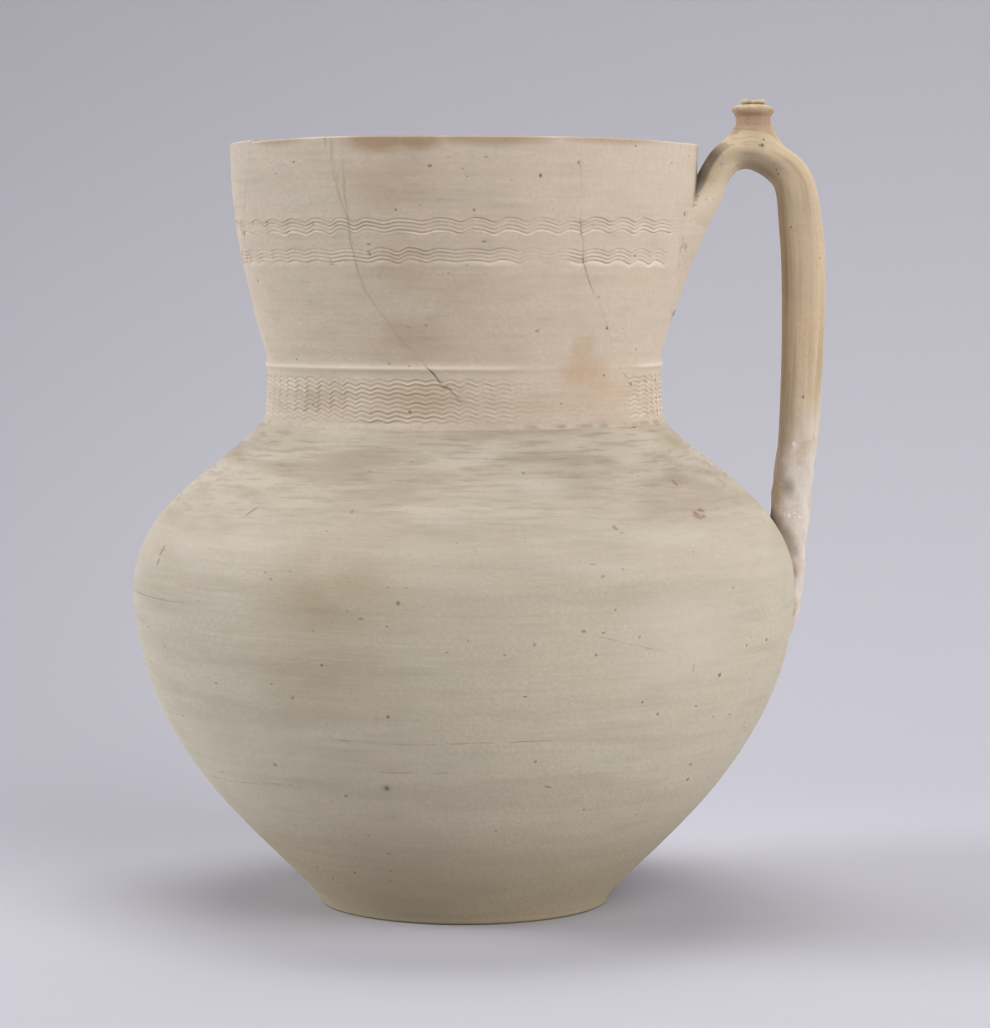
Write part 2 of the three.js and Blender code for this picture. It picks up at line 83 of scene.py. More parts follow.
class EwerSizes(bpy.types.PropertyGroup):
    """Main sizes of the body, the neck and the handle."""

    base_radius: length("Base radius", "Radius of the flat base", 43.6 * MM)
    belly_radius: length("Belly radius", "Radius at the widest place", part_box("lower_body")[1].x)
    belly_height: length("Belly height", "Height of the widest place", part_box("lower_body")[1].z)
    shoulder_height: length("Shoulder height", "Height of the neck's seat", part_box("shoulder")[1].z)
    shoulder_radius: length("Shoulder radius", "Radius of the neck's seat", 60.5 * MM)
    body_wall: length("Body wall", "Thickness of the body's wall", 5.8 * MM)
    floor_thickness: length("Floor thickness", "Thickness of the body's floor", 8.0 * MM)
    neck_foot: length("Neck foot", "Height of the neck's foot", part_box("neck_front_sherd")[0].z)
    neck_radius: length("Neck radius", "Radius of the neck's foot", 59.7 * MM)
    waist_radius: length("Waist radius", "Radius of the neck's narrowest place", 59.0 * MM)
    waist_rise: length("Waist rise", "Height of the waist above the neck's foot", 17.7 * MM)
    rim_height: length("Rim height", "Height of the rim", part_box("neck_left_sherd")[1].z)
    rim_radius: length("Rim radius", "Outside radius of the rim", 69.7 * MM)
    neck_wall: length("Neck wall", "Thickness of the neck's wall", 5.0 * MM)
    rim_wall: length("Rim wall", "Thickness of the wall at the rim", 4.2 * MM)
    strap_width: length("Strap width", "Width of the handle, across its path", 16.5 * MM)


class EwerCombing(bpy.types.PropertyGroup):
    """The combed ornament round the neck."""

    collar_spacing: length("Collar spacing", "Distance between the collar's lines", 1.3 * MM)
    upper_spacing: length("Upper spacing", "Distance between the upper bands' lines", 1.06 * MM)
    groove_depth: length("Groove depth", "Depth of each combed groove", 0.34 * MM)
    collar_wave: length("Collar wave", "Length of one wave in the collar's band", 5.3 * MM)
    collar_swing: length("Collar swing", "Height of the collar's waves, each way", 0.52 * MM)
    upper_wave: length("Upper wave", "Length of one wave in the two upper bands", 8.3 * MM)
    upper_swing: length("Upper swing", "Height of the upper waves, each way", 0.60 * MM)


class EwerColours(bpy.types.PropertyGroup):
    """Colours of the clays, the plasters, and the soil and painted shade."""

    body: tint("Body clay", "Buff clay of the body", "#D0C7B1")
    neck: tint("Neck clay", "Buff clay of the neck, a little pinker", "#D9CAB6")
    handle: tint("Handle clay", "Tan clay of the handle", "#DAC5A6")
    luting: tint("Luting clay", "Slip and clay pressed into the joins", "#D7C8B3")
    fill: tint("Toned fill", "Plaster toned to the clay", "#D8C9B6")
    plaster: tint("Pale plaster", "Plaster of the handle's restored end", "#E9DFD5")
    # This colour is laid for soil and also for painted shade: in the crotch, under the arch, in the grooves,
    # under the ridge and round the foot.
    soil: tint("Soil", "Brown soil in pits, cracks and grooves", "#4F3F30")
    wash: tint("Wash", "Brown-grey wash left by wiping", "#A08D75")


class EwerStage(bpy.types.PropertyGroup):
    """The paper sweep and the lamps."""

    paper: tint("Paper", "Colour of the floor and backdrop", "#C5C3CB")
    left_lamp: bpy.props.FloatProperty(
        name="Left lamp", description="Power of the softbox at the left, in watts", default=2.45, min=0.0)
    right_lamp: bpy.props.FloatProperty(
        name="Right lamp", description="Power of the softbox at the right, in watts", default=13.2, min=0.0)
    top_lamp: bpy.props.FloatProperty(
        name="Top lamp", description="Power of the overhead softbox, in watts", default=4.5, min=0.0)
    room: bpy.props.FloatProperty(
        name="Room light", description="Strength of the light from all sides", default=0.03, min=0.0)


# Shaping


def lumps(places, size, seed):
    """Smooth random swelling from -1 to 1 at each place, in lumps about as big as size."""
    scaled = np.asarray(places, float) / size + 1000.0
    low = np.floor(scaled).astype(np.int64)
    part = scaled - low
    part = part * part * (3 - 2 * part)
    total = np.zeros(scaled.shape[:-1])
    for corner in range(8):
        step = np.array([corner & 1, corner >> 1 & 1, corner >> 2])
        cell = low + step
        mixed = cell[..., 0] * 73856093 ^ cell[..., 1] * 19349663 ^ cell[..., 2] * 83492791 ^ seed * 40503
        mixed = (mixed ^ mixed >> 13) * 1274126177 & 0x7FFFFFFF
        value = ((mixed ^ mixed >> 15) & 0xFFFF) / 32767.5 - 1
        total += np.prod(np.where(step == 1, part, 1 - part), axis=-1) * value
    return total


def drift(reach, size, seed):
    """The same swelling along one line."""
    reach = np.asarray(reach, float)
    return lumps(np.stack([reach, 0 * reach, 0 * reach], -1), (size, 1.0, 1.0), seed)


def ease(value, low, high):
    """Smooth step from 0 below low to 1 above high."""
    share = np.clip((value - low) / (high - low), 0, 1)
    return share * share * (3 - 2 * share)


def within(value, start, full, fading, end):
    """Smooth rise from 0 at start to 1 at full, and fall from 1 at fading to 0 at end."""
    return ease(value, start, full) * (1 - ease(value, fading, end))


def bell(off, width):
    """A smooth hump that is 1 where off is nothing and fades over the width."""
    return np.exp(-(off / width) ** 2)


def lumpy(places, *rows):
    """Lumps of several kinds together: each row is their height and size in millimetres and a seed."""
    return sum(high * MM * lumps(places, size * MM, seed) for high, size, seed in rows)


def reach_along(line):
    """Each point's distance along a line."""
    return np.concatenate([[0], np.cumsum(np.linalg.norm(np.diff(line, axis=0), axis=1))])


def evenly(line, spacing):
    """The same line with its points an even distance apart."""
    line = np.asarray(line, float)
    reach = reach_along(line)
    places = np.linspace(0, reach[-1], max(2, round(reach[-1] / spacing) + 1))
    return np.stack([np.interp(places, reach, side) for side in line.T], 1)


def curve(start, start_pull, end_pull, end, spacing):
    """An evenly spaced cubic curve between two ends, drawn towards its two pulls."""
    share = np.linspace(0, 1, 400)[:, None]
    a, b, c, d = (np.array(corner, float) for corner in (start, start_pull, end_pull, end))
    back = 1 - share
    return evenly(a * back**3 + 3 * b * back**2 * share + 3 * c * back * share**2 + d * share**3, spacing)


def outward(section, closed):
    """Unit normals of a turned section that runs up its outside."""
    if closed:
        ahead = np.roll(section, -1, axis=0) - np.roll(section, 1, axis=0)
    else:
        ahead = np.gradient(section, axis=0)
    normals = np.stack([ahead[:, 1], -ahead[:, 0]], 1)
    return normals / np.maximum(np.linalg.norm(normals, axis=1, keepdims=True), 1e-12)


def full_turn(count):
    """Angles evenly spaced all the way round."""
    return np.linspace(0, 2 * np.pi, count + 1)[:-1]


def around(radius, angle, height):
    """Points at a radius, an angle round from the front and a height."""
    return np.stack(np.broadcast_arrays(radius * np.sin(angle), -radius * np.cos(angle), height), -1)


# Drawn-out marks: height, size in the first two directions and size in the third, in millimetres.
TURNING_MARKS = ((0.022, 30, 1.0), (0.032, 45, 2.4), (0.06, 80, 6.5), (0.20, 140, 25))
PULLING_MARKS = ((0.05, 1.1, 35), (0.09, 2.6, 60), (0.22, 7.0, 22), (0.03, 0.6, 14))


def drawn_marks(places, rows, seed):
    """Marks that fingers leave: level rings on turning clay, or lengthwise ridges on a pulled strap."""
    return sum(
        high * MM * lumps(places, (wide * MM, wide * MM, along * MM), seed + number)
        for number, (high, wide, along) in enumerate(rows))


def throwing_spiral(angle, height, pitch, high):
    """The spiral ridge that fingers leave inside a thrown wall."""
    return high * np.sin(2 * np.pi * height / pitch + angle) ** 3


# Meshes


# Side of the small square that a cap takes on the map.
CAP_MAP = 0.01


class Net:
    """The points, faces and map places of one piece while it is made."""

    def __init__(self):
        self.points, self.soil, self.lie = [], [], []
        self.faces, self.places = [], []
        self.count = 0

    def lay(self, points, soil, lie=None, box=(0, 0, 1, 1), round_columns=False, round_rows=False):
        """Adds a sheet of points, rows by columns, with its faces, and returns the points' numbers."""
        rows, columns = points.shape[:2]
        numbers = self.count + np.arange(rows * columns).reshape(rows, columns)
        self.count += rows * columns
        self.points.append(points.reshape(-1, 3))
        self.soil.append(np.broadcast_to(soil, (rows, columns)).ravel())
        self.lie.append((points if lie is None else lie).reshape(-1, 3))
        rise = np.linalg.norm(np.diff(points, axis=0), axis=2).mean(1)
        run = np.linalg.norm(np.diff(points, axis=1), axis=2).mean(0)
        up = np.concatenate([[0], np.cumsum(rise)])
        across = np.concatenate([[0], np.cumsum(run)])
        grid = numbers
        if round_columns:
            grid = np.concatenate([grid, grid[:, :1]], 1)
            across = np.append(across, across[-1] + run.mean())
        if round_rows:
            grid = np.concatenate([grid, grid[:1]], 0)
            up = np.append(up, up[-1] + rise.mean())
        u, v = np.meshgrid(
            box[0] + (box[2] - box[0]) * across / across[-1], box[1] + (box[3] - box[1]) * up / up[-1])
        place = np.stack([u, v], -1)
        low, high = slice(None, -1), slice(1, None)
        corners = (low, low), (low, high), (high, high), (high, low)
        self.faces.append(np.stack([grid[corner] for corner in corners], -1).reshape(-1, 4))
        self.places.append(np.stack([place[corner] for corner in corners], -2).reshape(-1, 4, 2))
        return numbers

    def close(self, first, second, first_reach, second_reach, box, flip=False):
        """Fills between two rows of points that may have different counts, with three-sided faces."""
        faces, places = [], []
        at = [0, 0]
        rows, reaches = (first, second), (first_reach, second_reach)

        def place(row, number):
            return box[0] + (box[2] - box[0]) * row, box[1] + (box[3] - box[1]) * reaches[row][number]

        while at[0] < len(first) - 1 or at[1] < len(second) - 1:
            step = 0 if at[1] == len(second) - 1 or (
                at[0] < len(first) - 1 and reaches[0][at[0] + 1] <= reaches[1][at[1] + 1]) else 1
            other = 1 - step
            trio = [(step, at[step]), (step, at[step] + 1), (other, at[other])]
            if (step == 1) != flip:
                trio.reverse()
            if len({rows[row][number] for row, number in trio}) == 3:
                faces.append([rows[row][number] for row, number in trio])
                places.append([place(row, number) for row, number in trio])
            at[step] += 1
        self.faces.append(np.array(faces))
        self.places.append(np.array(places))

    def cap(self, ring, middle, flip=False):
        """Closes a ring of points with a fan round one more point."""
        self.points.append(np.array([middle], float))
        self.soil.append(np.zeros(1))
        self.lie.append(np.array([middle], float))
        turn = np.linspace(0, 2 * np.pi, len(ring) + 1)
        rim = np.stack([0.5 + 0.5 * np.cos(turn), 0.5 + 0.5 * np.sin(turn)], 1)
        fan = ring, np.roll(ring, -1), np.full(len(ring), self.count)
        places = rim[:-1], rim[1:], np.full((len(ring), 2), 0.5)
        order = (0, 2, 1) if flip else (0, 1, 2)
        self.count += 1
        self.faces.append(np.stack([fan[corner] for corner in order], 1))
        self.places.append(CAP_MAP * np.stack([places[corner] for corner in order], 1))

    def tube(self, points, soil, lie=None, flip=False):
        """Adds closed rings of points with a cap at each end, the first or the last one flipped."""
        numbers = self.lay(points, soil, lie, round_columns=True)
        self.cap(numbers[0], points[0].mean(0), flip)
        self.cap(numbers[-1], points[-1].mean(0), not flip)

    def piece(self, name, material, slot, node, sharp=40):
        """Makes the object and sets it on the ewer's body in place of its solid."""
        mesh = bpy.data.meshes.new(name)
        points = np.concatenate(self.points)
        corners = np.concatenate([faces.ravel() for faces in self.faces])
        totals = np.concatenate([np.full(len(faces), faces.shape[1]) for faces in self.faces])
        mesh.vertices.add(len(points))
        mesh.vertices.foreach_set("co", points.astype(np.float32).ravel())
        mesh.loops.add(len(corners))
        mesh.loops.foreach_set("vertex_index", corners.astype(np.int32))
        mesh.polygons.add(len(totals))
        starts = np.concatenate([[0], np.cumsum(totals)[:-1]])
        mesh.polygons.foreach_set("loop_start", starts.astype(np.int32))
        mesh.update(calc_edges=True)
        places = np.concatenate([places.reshape(-1, 2) for places in self.places])
        mesh.uv_layers.new(name="OFBake").uv.foreach_set("vector", places.astype(np.float32).ravel())
        soil = mesh.attributes.new("soil", "FLOAT", "POINT")
        soil.data.foreach_set("value", np.concatenate(self.soil).astype(np.float32))
        lie = mesh.attributes.new("lie", "FLOAT_VECTOR", "POINT")
        lie.data.foreach_set("vector", np.concatenate(self.lie).astype(np.float32).ravel())
        if mesh.validate():
            raise RuntimeError(f"{name} has faces that don't hold together")
        mesh.shade_smooth()
        mesh.set_sharp_from_angle(angle=math.radians(sharp))
        mesh.materials.append(material)
        piece = bpy.data.objects.new(name, mesh)
        bpy.context.scene.collection.objects.link(piece)
        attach(piece, BODY)
        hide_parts(node)


# Materials


# Least reach of a mark through the wall, in millimetres.
MARK_THROUGH = 4.0


def put(tree, kind, inputs=None, out=0, **settings):
    """Adds a node with its settings, sets or links its inputs, and returns one of its outputs."""
    node = tree.nodes.new(kind)
    for name, value in settings.items():
        setattr(node, name, value)
    for socket, value in (inputs or {}).items():
        if isinstance(value, bpy.types.NodeSocket):
            tree.links.new(value, node.inputs[socket])
        else:
            node.inputs[socket].default_value = value
    return node.outputs[out] if len(node.outputs) else None


def rgba(colour):
    """A setting's colour with an alpha."""
    return (*(min(1.0, part) for part in colour), 1.0)


def new_surface(name):
    """A new material, its tree and the object's coordinates in metres, or just the material already made."""
    material = bpy.data.materials.get(name)
    if material:
        return material, None, None
    material = bpy.data.materials.new(name)
    material.use_nodes = True
    material.node_tree.nodes.clear()
    return material, material.node_tree, put(material.node_tree, "ShaderNodeTexCoord", out="Object")


def cloud(tree, places, sizes, low, high, most=1.0, detail=3.0, seed=0.0):
    """Soft random patches, of sizes in millimetres, as a share from 0 at low to the most at high."""
    scaled = put(tree, "ShaderNodeMapping", {
        "Vector": places, "Location": (seed, seed * 0.7, seed * 1.3),
        "Scale": tuple(1 / (size * MM) for size in sizes)})
    noise = put(tree, "ShaderNodeTexNoise", {
        "Vector": scaled, "Scale": 1.0, "Detail": detail, "Roughness": 0.55})
    return put(tree, "ShaderNodeMapRange", {"Value": noise, 1: low, 2: high, 4: most},
               interpolation_type="SMOOTHSTEP")


def specks(tree, places, spacing, radius, chosen, most=1.0, seed=0.0, drawn=1.0):
    """Specks up to a radius in millimetres, one to each chosen cell, drawn out level, as a share."""
    moved = put(tree, "ShaderNodeMapping", {
        "Vector": places, "Location": (seed, seed * 0.6, seed * 1.7), "Scale": (1 / drawn, 1 / drawn, 1.0)})
    cells = put(tree, "ShaderNodeTexVoronoi", {"Vector": moved, "Scale": 1 / (spacing * MM)}, out="Distance")
    tone = put(tree, "ShaderNodeSeparateColor", {"Color": cells.node.outputs["Color"]})
    picked = put(tree, "ShaderNodeMapRange", {"Value": tone, 1: chosen, 2: 0.0, 3: 0.0, 4: radius / spacing})
    edge = put(tree, "ShaderNodeMath", {0: cells, 1: picked}, operation="SUBTRACT")
    return put(tree, "ShaderNodeMapRange", {"Value": edge, 1: 0.0, 2: -0.5 * radius / spacing, 4: most},
               interpolation_type="SMOOTHSTEP")


def mark(tree, places, centre, sizes, turn=0.0, soft=0.5, most=1.0, angle=0.0):
    """One patch on a surface that faces an angle round, of half sizes across, up and through, as a share."""
    facing = Matrix.Rotation(angle, 3, "Z") @ Matrix.Rotation(turn, 3, "Y")
    local = put(tree, "ShaderNodeMapping", {
        "Vector": places, "Location": centre, "Rotation": facing.to_euler(),
        "Scale": (sizes[0], sizes[2], sizes[1])}, vector_type="TEXTURE")
    away = put(tree, "ShaderNodeVectorMath", {0: local}, out="Value", operation="LENGTH")
    return put(tree, "ShaderNodeMapRange", {"Value": away, 1: 1.0, 2: 1.0 - soft, 4: most},
               interpolation_type="SMOOTHSTEP")


def strongest(tree, shares):
    """The greatest of several shares."""
    most = shares[0]
    for share in shares[1:]:
        most = put(tree, "ShaderNodeMath", {0: most, 1: share}, operation="MAXIMUM")
    return most


def overlap(tree, shares):
    """What several shares leave where they lie over each other."""
    left = shares[0]
    for share in shares[1:]:
        left = put(tree, "ShaderNodeMath", {0: left, 1: share}, operation="MULTIPLY")
    return left


def layered(tree, colour, layers):
    """A colour with others, some of them hex codes, laid over it in turn, each by its share."""
    for tone, share in layers:
        tone = linear(tone) if isinstance(tone, str) else tone
        colour = put(tree, "ShaderNodeMix", {0: share, 6: colour, 7: rgba(tone)}, out=2, data_type="RGBA")
    return colour


def marks(tree, places, radius_at, rows, soft=0.5, most=1.0):
    """Several marks on a turned wall, as one share.

    Each row is degrees round, height, half width and half height in millimetres, lean in degrees, strength.
    """
    shares = []
    for degrees, height, wide, high, lean, strength in rows:
        centre = tuple(around(radius_at(height * MM), math.radians(degrees), height * MM))
        sizes = (wide * MM, high * MM, max(MARK_THROUGH, wide) * MM)
        shares.append(mark(
            tree, places, centre, sizes, math.radians(lean), soft, strength * most, math.radians(degrees)))
    return strongest(tree, shares)


def patches(tree, places, radius_at, rows, soft, *grain):
    """Marks on a turned wall, broken up by a cloud of the given grain, as one share."""
    return overlap(tree, [marks(tree, places, radius_at, rows, soft), cloud(tree, places, *grain)])


def finish_matt(tree, colour, height, relief, roughness):
    """A matt shader with the given colour, bump and roughness."""
    bump = put(tree, "ShaderNodeBump", {"Height": height, "Distance": relief, "Strength": 1.0})
    shader = put(tree, "ShaderNodeBsdfPrincipled", {
        "Base Color": colour, "Roughness": roughness, "IOR": 1.5, "Diffuse Roughness": 0.6, "Normal": bump})
    put(tree, "ShaderNodeOutputMaterial", {"Surface": shader})


def fired_clay(tree, places, streak_places, clay, colours, streak_sizes, wash, mottling, spots=()):
    """The look that all the ewer's fired clays share: clouded colour, wiped streaks, grit, pits, soil,
    painted shade and painted highlight.

    Returns the colour, the bump's height and the roughness.
    """
    def tone(red, green, blue):
        return clay[0] * red, clay[1] * green, clay[2] * blue

    wide_sizes = tuple(2.4 * size for size in streak_sizes)
    streaks = cloud(tree, streak_places, streak_sizes, 0.3, 0.7, detail=5.0, seed=2.2)
    # Grit of about a quarter of a millimetre is too fine to show, so it is drawn at a millimetre.
    grit = cloud(tree, places, (1.3, 1.3, 1.0), 0.3, 0.7, detail=4.0, seed=3.9)
    holes = strongest(tree, [
        specks(tree, places, 8.0, 0.85, 0.5, 0.72, seed=0.12),
        specks(tree, places, 3.0, 0.5, 0.45, 0.45, seed=0.57, drawn=1.8),
        overlap(tree, [specks(tree, places, 1.7, 0.32, 0.5, seed=0.91),
                       cloud(tree, places, (16, 16, 9), 0.47, 0.62, 0.45, seed=2.8)]), *spots])
    soil = put(tree, "ShaderNodeAttribute", attribute_name="soil", out="Fac")
    # Soil below nothing is a painted highlight, partly rubbed pale clay, laid in a paler tone; above nothing
    # it is soil and painted shade.
    worn = put(tree, "ShaderNodeMapRange", {"Value": soil, 1: 0.0, 2: -1.0})
    colour = layered(tree, rgba(clay), (
        (tone(1.02, 0.93, 0.82), cloud(tree, places, (34, 34, 22), 0.42, 0.70, seed=1.3)),
        (tone(0.92, 0.96, 0.90), cloud(tree, places, (26, 26, 16), 0.46, 0.70, seed=4.1)),
        (tone(1.20, 1.12, 1.10), cloud(tree, places, (18, 18, 11), 0.46, 0.66, mottling, seed=6.6)),
        (tone(0.62, 0.61, 0.58), cloud(tree, places, (13, 13, 7), 0.42, 0.68, mottling, seed=8.3)),
        (tone(1.10, 0.96, 0.95), cloud(tree, places, (7, 7, 4), 0.46, 0.62, mottling, detail=2.0, seed=5.1)),
        (tone(1.06, 1.06, 1.06), streaks),
        (colours.wash, cloud(tree, streak_places, wide_sizes, 0.52, 0.8, wash, detail=5.0, seed=7.7)),
        (tone(0.955, 0.955, 0.955), grit),
        ((0.78, 0.72, 0.63), specks(tree, places, 3.0, 0.5, 0.35, 0.40, seed=0.31)),
        (tone(1.30, 1.37, 1.45), worn),
        (colours.soil, strongest(tree, [holes, soil]))))
    height = 0.0
    for share, lift in ((streaks, 0.20), (grit, 0.25), (holes, -1.2)):
        height = put(tree, "ShaderNodeMath", {0: share, 1: lift, 2: height}, operation="MULTIPLY_ADD")
    roughness = put(tree, "ShaderNodeMapRange", {"Value": grit, 3: 0.62, 4: 0.82})
    return colour, height, roughness


# Body


FOOT_BEVEL = 0.8 * MM
FOOT_FLARE_OUT = 6.0 * MM
FOOT_FLARE_UP = 12.7 * MM
BELLY_ROUND_BELOW = 52.0 * MM
BELLY_ROUND_ABOVE = 24.4 * MM
SHOULDER_RUN_OUT = 12.6 * MM
SHOULDER_RUN_DOWN = 13.8 * MM
SEAM_GAP = 0.004 * MM
SEAM_HALF_WIDTH = 0.55 * MM
SEAM_DEPTH = 0.05 * MM
EDGE_BEVEL = 0.4 * MM
FLOOR_CORNER = 2.0 * MM
LOWER_ROW, LOWER_COLUMNS = 0.95 * MM, 480
SHOULDER_ROW, SHOULDER_COLUMNS = 0.75 * MM, 640
INSIDE_ROW = 2.6 * MM
FAN_RADIUS = 3.0 * MM
BODY_SEED = 11
# The spiral inside: its pitch and height.
BODY_SPIRAL = (8.0 * MM, 0.30 * MM)
# Soil in the turning marks: the step over which their slope is taken, the fall that fills, and its strength.
MARK_STEP, MARK_FALL, MARK_SOIL = 0.6 * MM, 0.05 * MM, 0.03
# The base is hollowed a little inside its rim, between two distances in from the edge.
BASE_HOLLOW = 0.5 * MM
BASE_RIM = (9.0 * MM, 3.0 * MM)
# Painted contact shadow round the foot's bevel: its strength, and the heights over which it fades out.
BASE_CONTACT_SHADE, BASE_CONTACT_SHADE_HEIGHTS = 0.8, (0.25 * MM, 0.9 * MM)
# Curved marks of the string that cut the base from the wheel.
STRING_CENTRE = (12.0 * MM, -30.0 * MM)
STRING_PITCH, STRING_HEIGHT = 2.3 * MM, 0.06 * MM


def lower_outline(sizes, spacing):
    """Outside of the lower half, from its foot up to the seam."""
    return curve(
        (sizes.base_radius, FOOT_BEVEL),
        (sizes.base_radius + FOOT_FLARE_OUT, FOOT_BEVEL + FOOT_FLARE_UP),
        (sizes.belly_radius, sizes.belly_height - BELLY_ROUND_BELOW),
        (sizes.belly_radius, sizes.belly_height), spacing)


def shoulder_outline(sizes, spacing):
    """Outside of the upper half, from the seam up to the neck's seat."""
    return curve(
        (sizes.belly_radius, sizes.belly_height + SEAM_GAP),
        (sizes.belly_radius, sizes.belly_height + BELLY_ROUND_ABOVE),
        (sizes.shoulder_radius + SHOULDER_RUN_OUT, sizes.shoulder_height - SHOULDER_RUN_DOWN),
        (sizes.shoulder_radius, sizes.shoulder_height), spacing)


def body_radius(sizes, height):
    """Outside radius of the whole body at a height."""
    line = np.concatenate([lower_outline(sizes, 1 * MM), shoulder_outline(sizes, 1 * MM)])
    return np.interp(height, line[:, 1], line[:, 0])


def inside_of(outline, wall, foot, top):
    """The wall's inside, moved in square to the outside, from its top down to a foot."""
    inner = outline - outward(outline, False) * wall
    heights = np.linspace(top, foot, max(2, round((top - foot) / INSIDE_ROW)))
    order = np.argsort(inner[:, 1])
    return np.stack([np.interp(heights, inner[order, 1], inner[order, 0]), heights], 1)


def body_relief(sizes, places, angle, outside):
    """How far the body's surface stands off its plain outline."""
    height = places[..., 2]
    marked = drawn_marks(places, TURNING_MARKS, BODY_SEED)
    seam = SEAM_DEPTH * bell(height - sizes.belly_height, SEAM_HALF_WIDTH) * (1 + drift(angle, 0.4, 5))
    return np.where(outside, marked - seam, throwing_spiral(angle, height, *BODY_SPIRAL))


def spun(sizes, section, columns, closed, outside):
    """A turned section with its relief, as points and soil."""
    angle = full_turn(columns)
    radius, height = section[:, None, 0], section[:, None, 1]
    flat = around(radius, angle[None], height)
    relief = body_relief(sizes, flat, np.broadcast_to(angle, flat.shape[:2]), outside[:, None])
    normals = outward(section, closed)[:, None]
    points = around(radius + normals[..., 0] * relief, angle[None], height + normals[..., 1] * relief)
    here, above = (drawn_marks(place, TURNING_MARKS, BODY_SEED) for place in (flat, flat + (0, 0, MARK_STEP)))
    soil = np.clip(np.abs(here - above) / MARK_FALL, 0, 1) * MARK_SOIL * outside[:, None]
    return points, soil


def make_lower_body(sizes, material):
    """The lower half: a base cut off with a string, a thrown wall, and the floor inside."""
    outline = lower_outline(sizes, LOWER_ROW)
    seam = sizes.belly_height
    foot_radius = sizes.base_radius - FOOT_BEVEL
    turn = np.linspace(-np.pi / 2, 0, 5)[:-1]
    bevel = np.stack([foot_radius + FOOT_BEVEL * np.cos(turn), FOOT_BEVEL + FOOT_BEVEL * np.sin(turn)], 1)
    reach = np.linspace(FAN_RADIUS, foot_radius - 1 * MM, 14)
    hollow = BASE_HOLLOW * (1 - ease(reach, *(foot_radius - inwards for inwards in BASE_RIM)))
    under = np.stack([reach, hollow], 1)
    inner = inside_of(outline, sizes.body_wall, sizes.floor_thickness + FLOOR_CORNER, seam)
    lip = [[outline[-1, 0] - EDGE_BEVEL, seam], [inner[0, 0] + EDGE_BEVEL, seam]]
    floor_reach = np.linspace(inner[-1, 0] - FLOOR_CORNER, FAN_RADIUS, 12)
    floor = np.stack([floor_reach, np.full(12, sizes.floor_thickness)], 1)
    section = np.concatenate([under, bevel, outline, lip, inner, floor])
    outside = np.zeros(len(section), bool)
    outside[len(under):len(under) + len(bevel) + len(outline)] = True
    points, soil = spun(sizes, section, LOWER_COLUMNS, False, outside)
    # Painted contact shadow along the foot's bevel, where it meets the table.
    soil = soil + BASE_CONTACT_SHADE * (1 - ease(points[..., 2], *BASE_CONTACT_SHADE_HEIGHTS)) * outside[:, None]
    base = points[:len(under)]
    string = np.hypot(base[..., 0] - STRING_CENTRE[0], base[..., 1] - STRING_CENTRE[1])
    base[..., 2] = hollow[:, None] + STRING_HEIGHT * (
        1 + np.sin(2 * np.pi * string / STRING_PITCH) * (0.6 + 0.4 * drift(string, 6 * MM, 3)))
    net = Net()
    numbers = net.lay(points, soil, round_columns=True)
    net.cap(numbers[0], (0, 0, hollow[0]), flip=True)
    net.cap(numbers[-1], (0, 0, sizes.floor_thickness))
    net.piece("lower_body_thrown", material, "body_clay", "lower_body")


def make_shoulder(sizes, material):
    """The upper half: a thrown wall from the seam up to the neck's seat."""
    outline = shoulder_outline(sizes, SHOULDER_ROW)
    lip_radius = sizes.neck_radius - sizes.neck_wall
    seat, seam = sizes.shoulder_height, sizes.belly_height + SEAM_GAP
    under_lip = seat - sizes.body_wall / 2
    inner = inside_of(outline, sizes.body_wall, seam, under_lip)
    inner = inner[inner[:, 0] > lip_radius + EDGE_BEVEL / 2]
    top = [[sizes.shoulder_radius - 0.5 * MM, seat], [lip_radius + EDGE_BEVEL, seat],
           [lip_radius, seat - EDGE_BEVEL], [lip_radius, under_lip]]
    foot = [[inner[-1, 0] + EDGE_BEVEL, seam], [sizes.belly_radius - EDGE_BEVEL, seam]]
    section = np.concatenate([outline, top, inner, foot])
    outside = np.arange(len(section)) < len(outline)
    net = Net()
    net.lay(*spun(sizes, section, SHOULDER_COLUMNS, True, outside), round_columns=True, round_rows=True)
    net.piece("shoulder_thrown", material, "body_clay", "shoulder")


# Rows of marks: degrees round, height, half width and half height in millimetres, lean in degrees, strength.
BODY_SPOTS = (
    (-65.2, 108.9, 0.8, 2.2, 20, 1.0), (-65.1, 105.6, 0.7, 1.5, 6, 1.0), (-43.8, 121.7, 0.5, 2.9, 46, 0.85),
    (-10.5, 99.1, 0.8, 0.7, 10, 0.9), (-16.5, 94.6, 1.0, 0.5, 0, 0.7), (-34.5, 105.9, 0.6, 0.5, 0, 0.6),
    (-21.3, 122.8, 0.7, 0.6, 20, 0.7), (27.6, 118.3, 1.0, 0.7, 25, 0.95), (62.4, 83.4, 0.9, 0.6, 0, 0.9),
    (21.5, 84.3, 0.7, 0.5, 0, 0.6), (11.1, 87.7, 0.5, 0.5, 0, 0.6), (29.2, 88.7, 0.6, 0.5, 0, 0.6),
    (-15.1, 45.8, 0.8, 0.9, 0, 1.0), (-15.1, 45.8, 1.9, 1.6, 0, 0.3), (-12.9, 67.3, 0.6, 0.7, 0, 0.8),
    (-38.2, 50.6, 0.8, 0.6, 0, 0.7), (-24.2, 42.7, 0.7, 0.5, 0, 0.7), (12.8, 54.0, 0.7, 0.6, 0, 0.6),
    (35.2, 66.0, 0.7, 0.5, 0, 0.7), (41.2, 78.5, 0.3, 1.5, 0, 0.6), (16.2, 46.0, 1.5, 0.35, 15, 0.6),
    (-24.8, 90.8, 0.6, 0.5, 0, 0.5), (21.4, 109.0, 1.2, 0.4, 0, 0.5))
BODY_SCUFFS = (
    (49.6, 120.6, 4.6, 1.8, -12, 0.9), (50.1, 129.1, 1.4, 1.0, 0, 0.8), (75.0, 3.9, 4.2, 2.4, -35, 1.0))
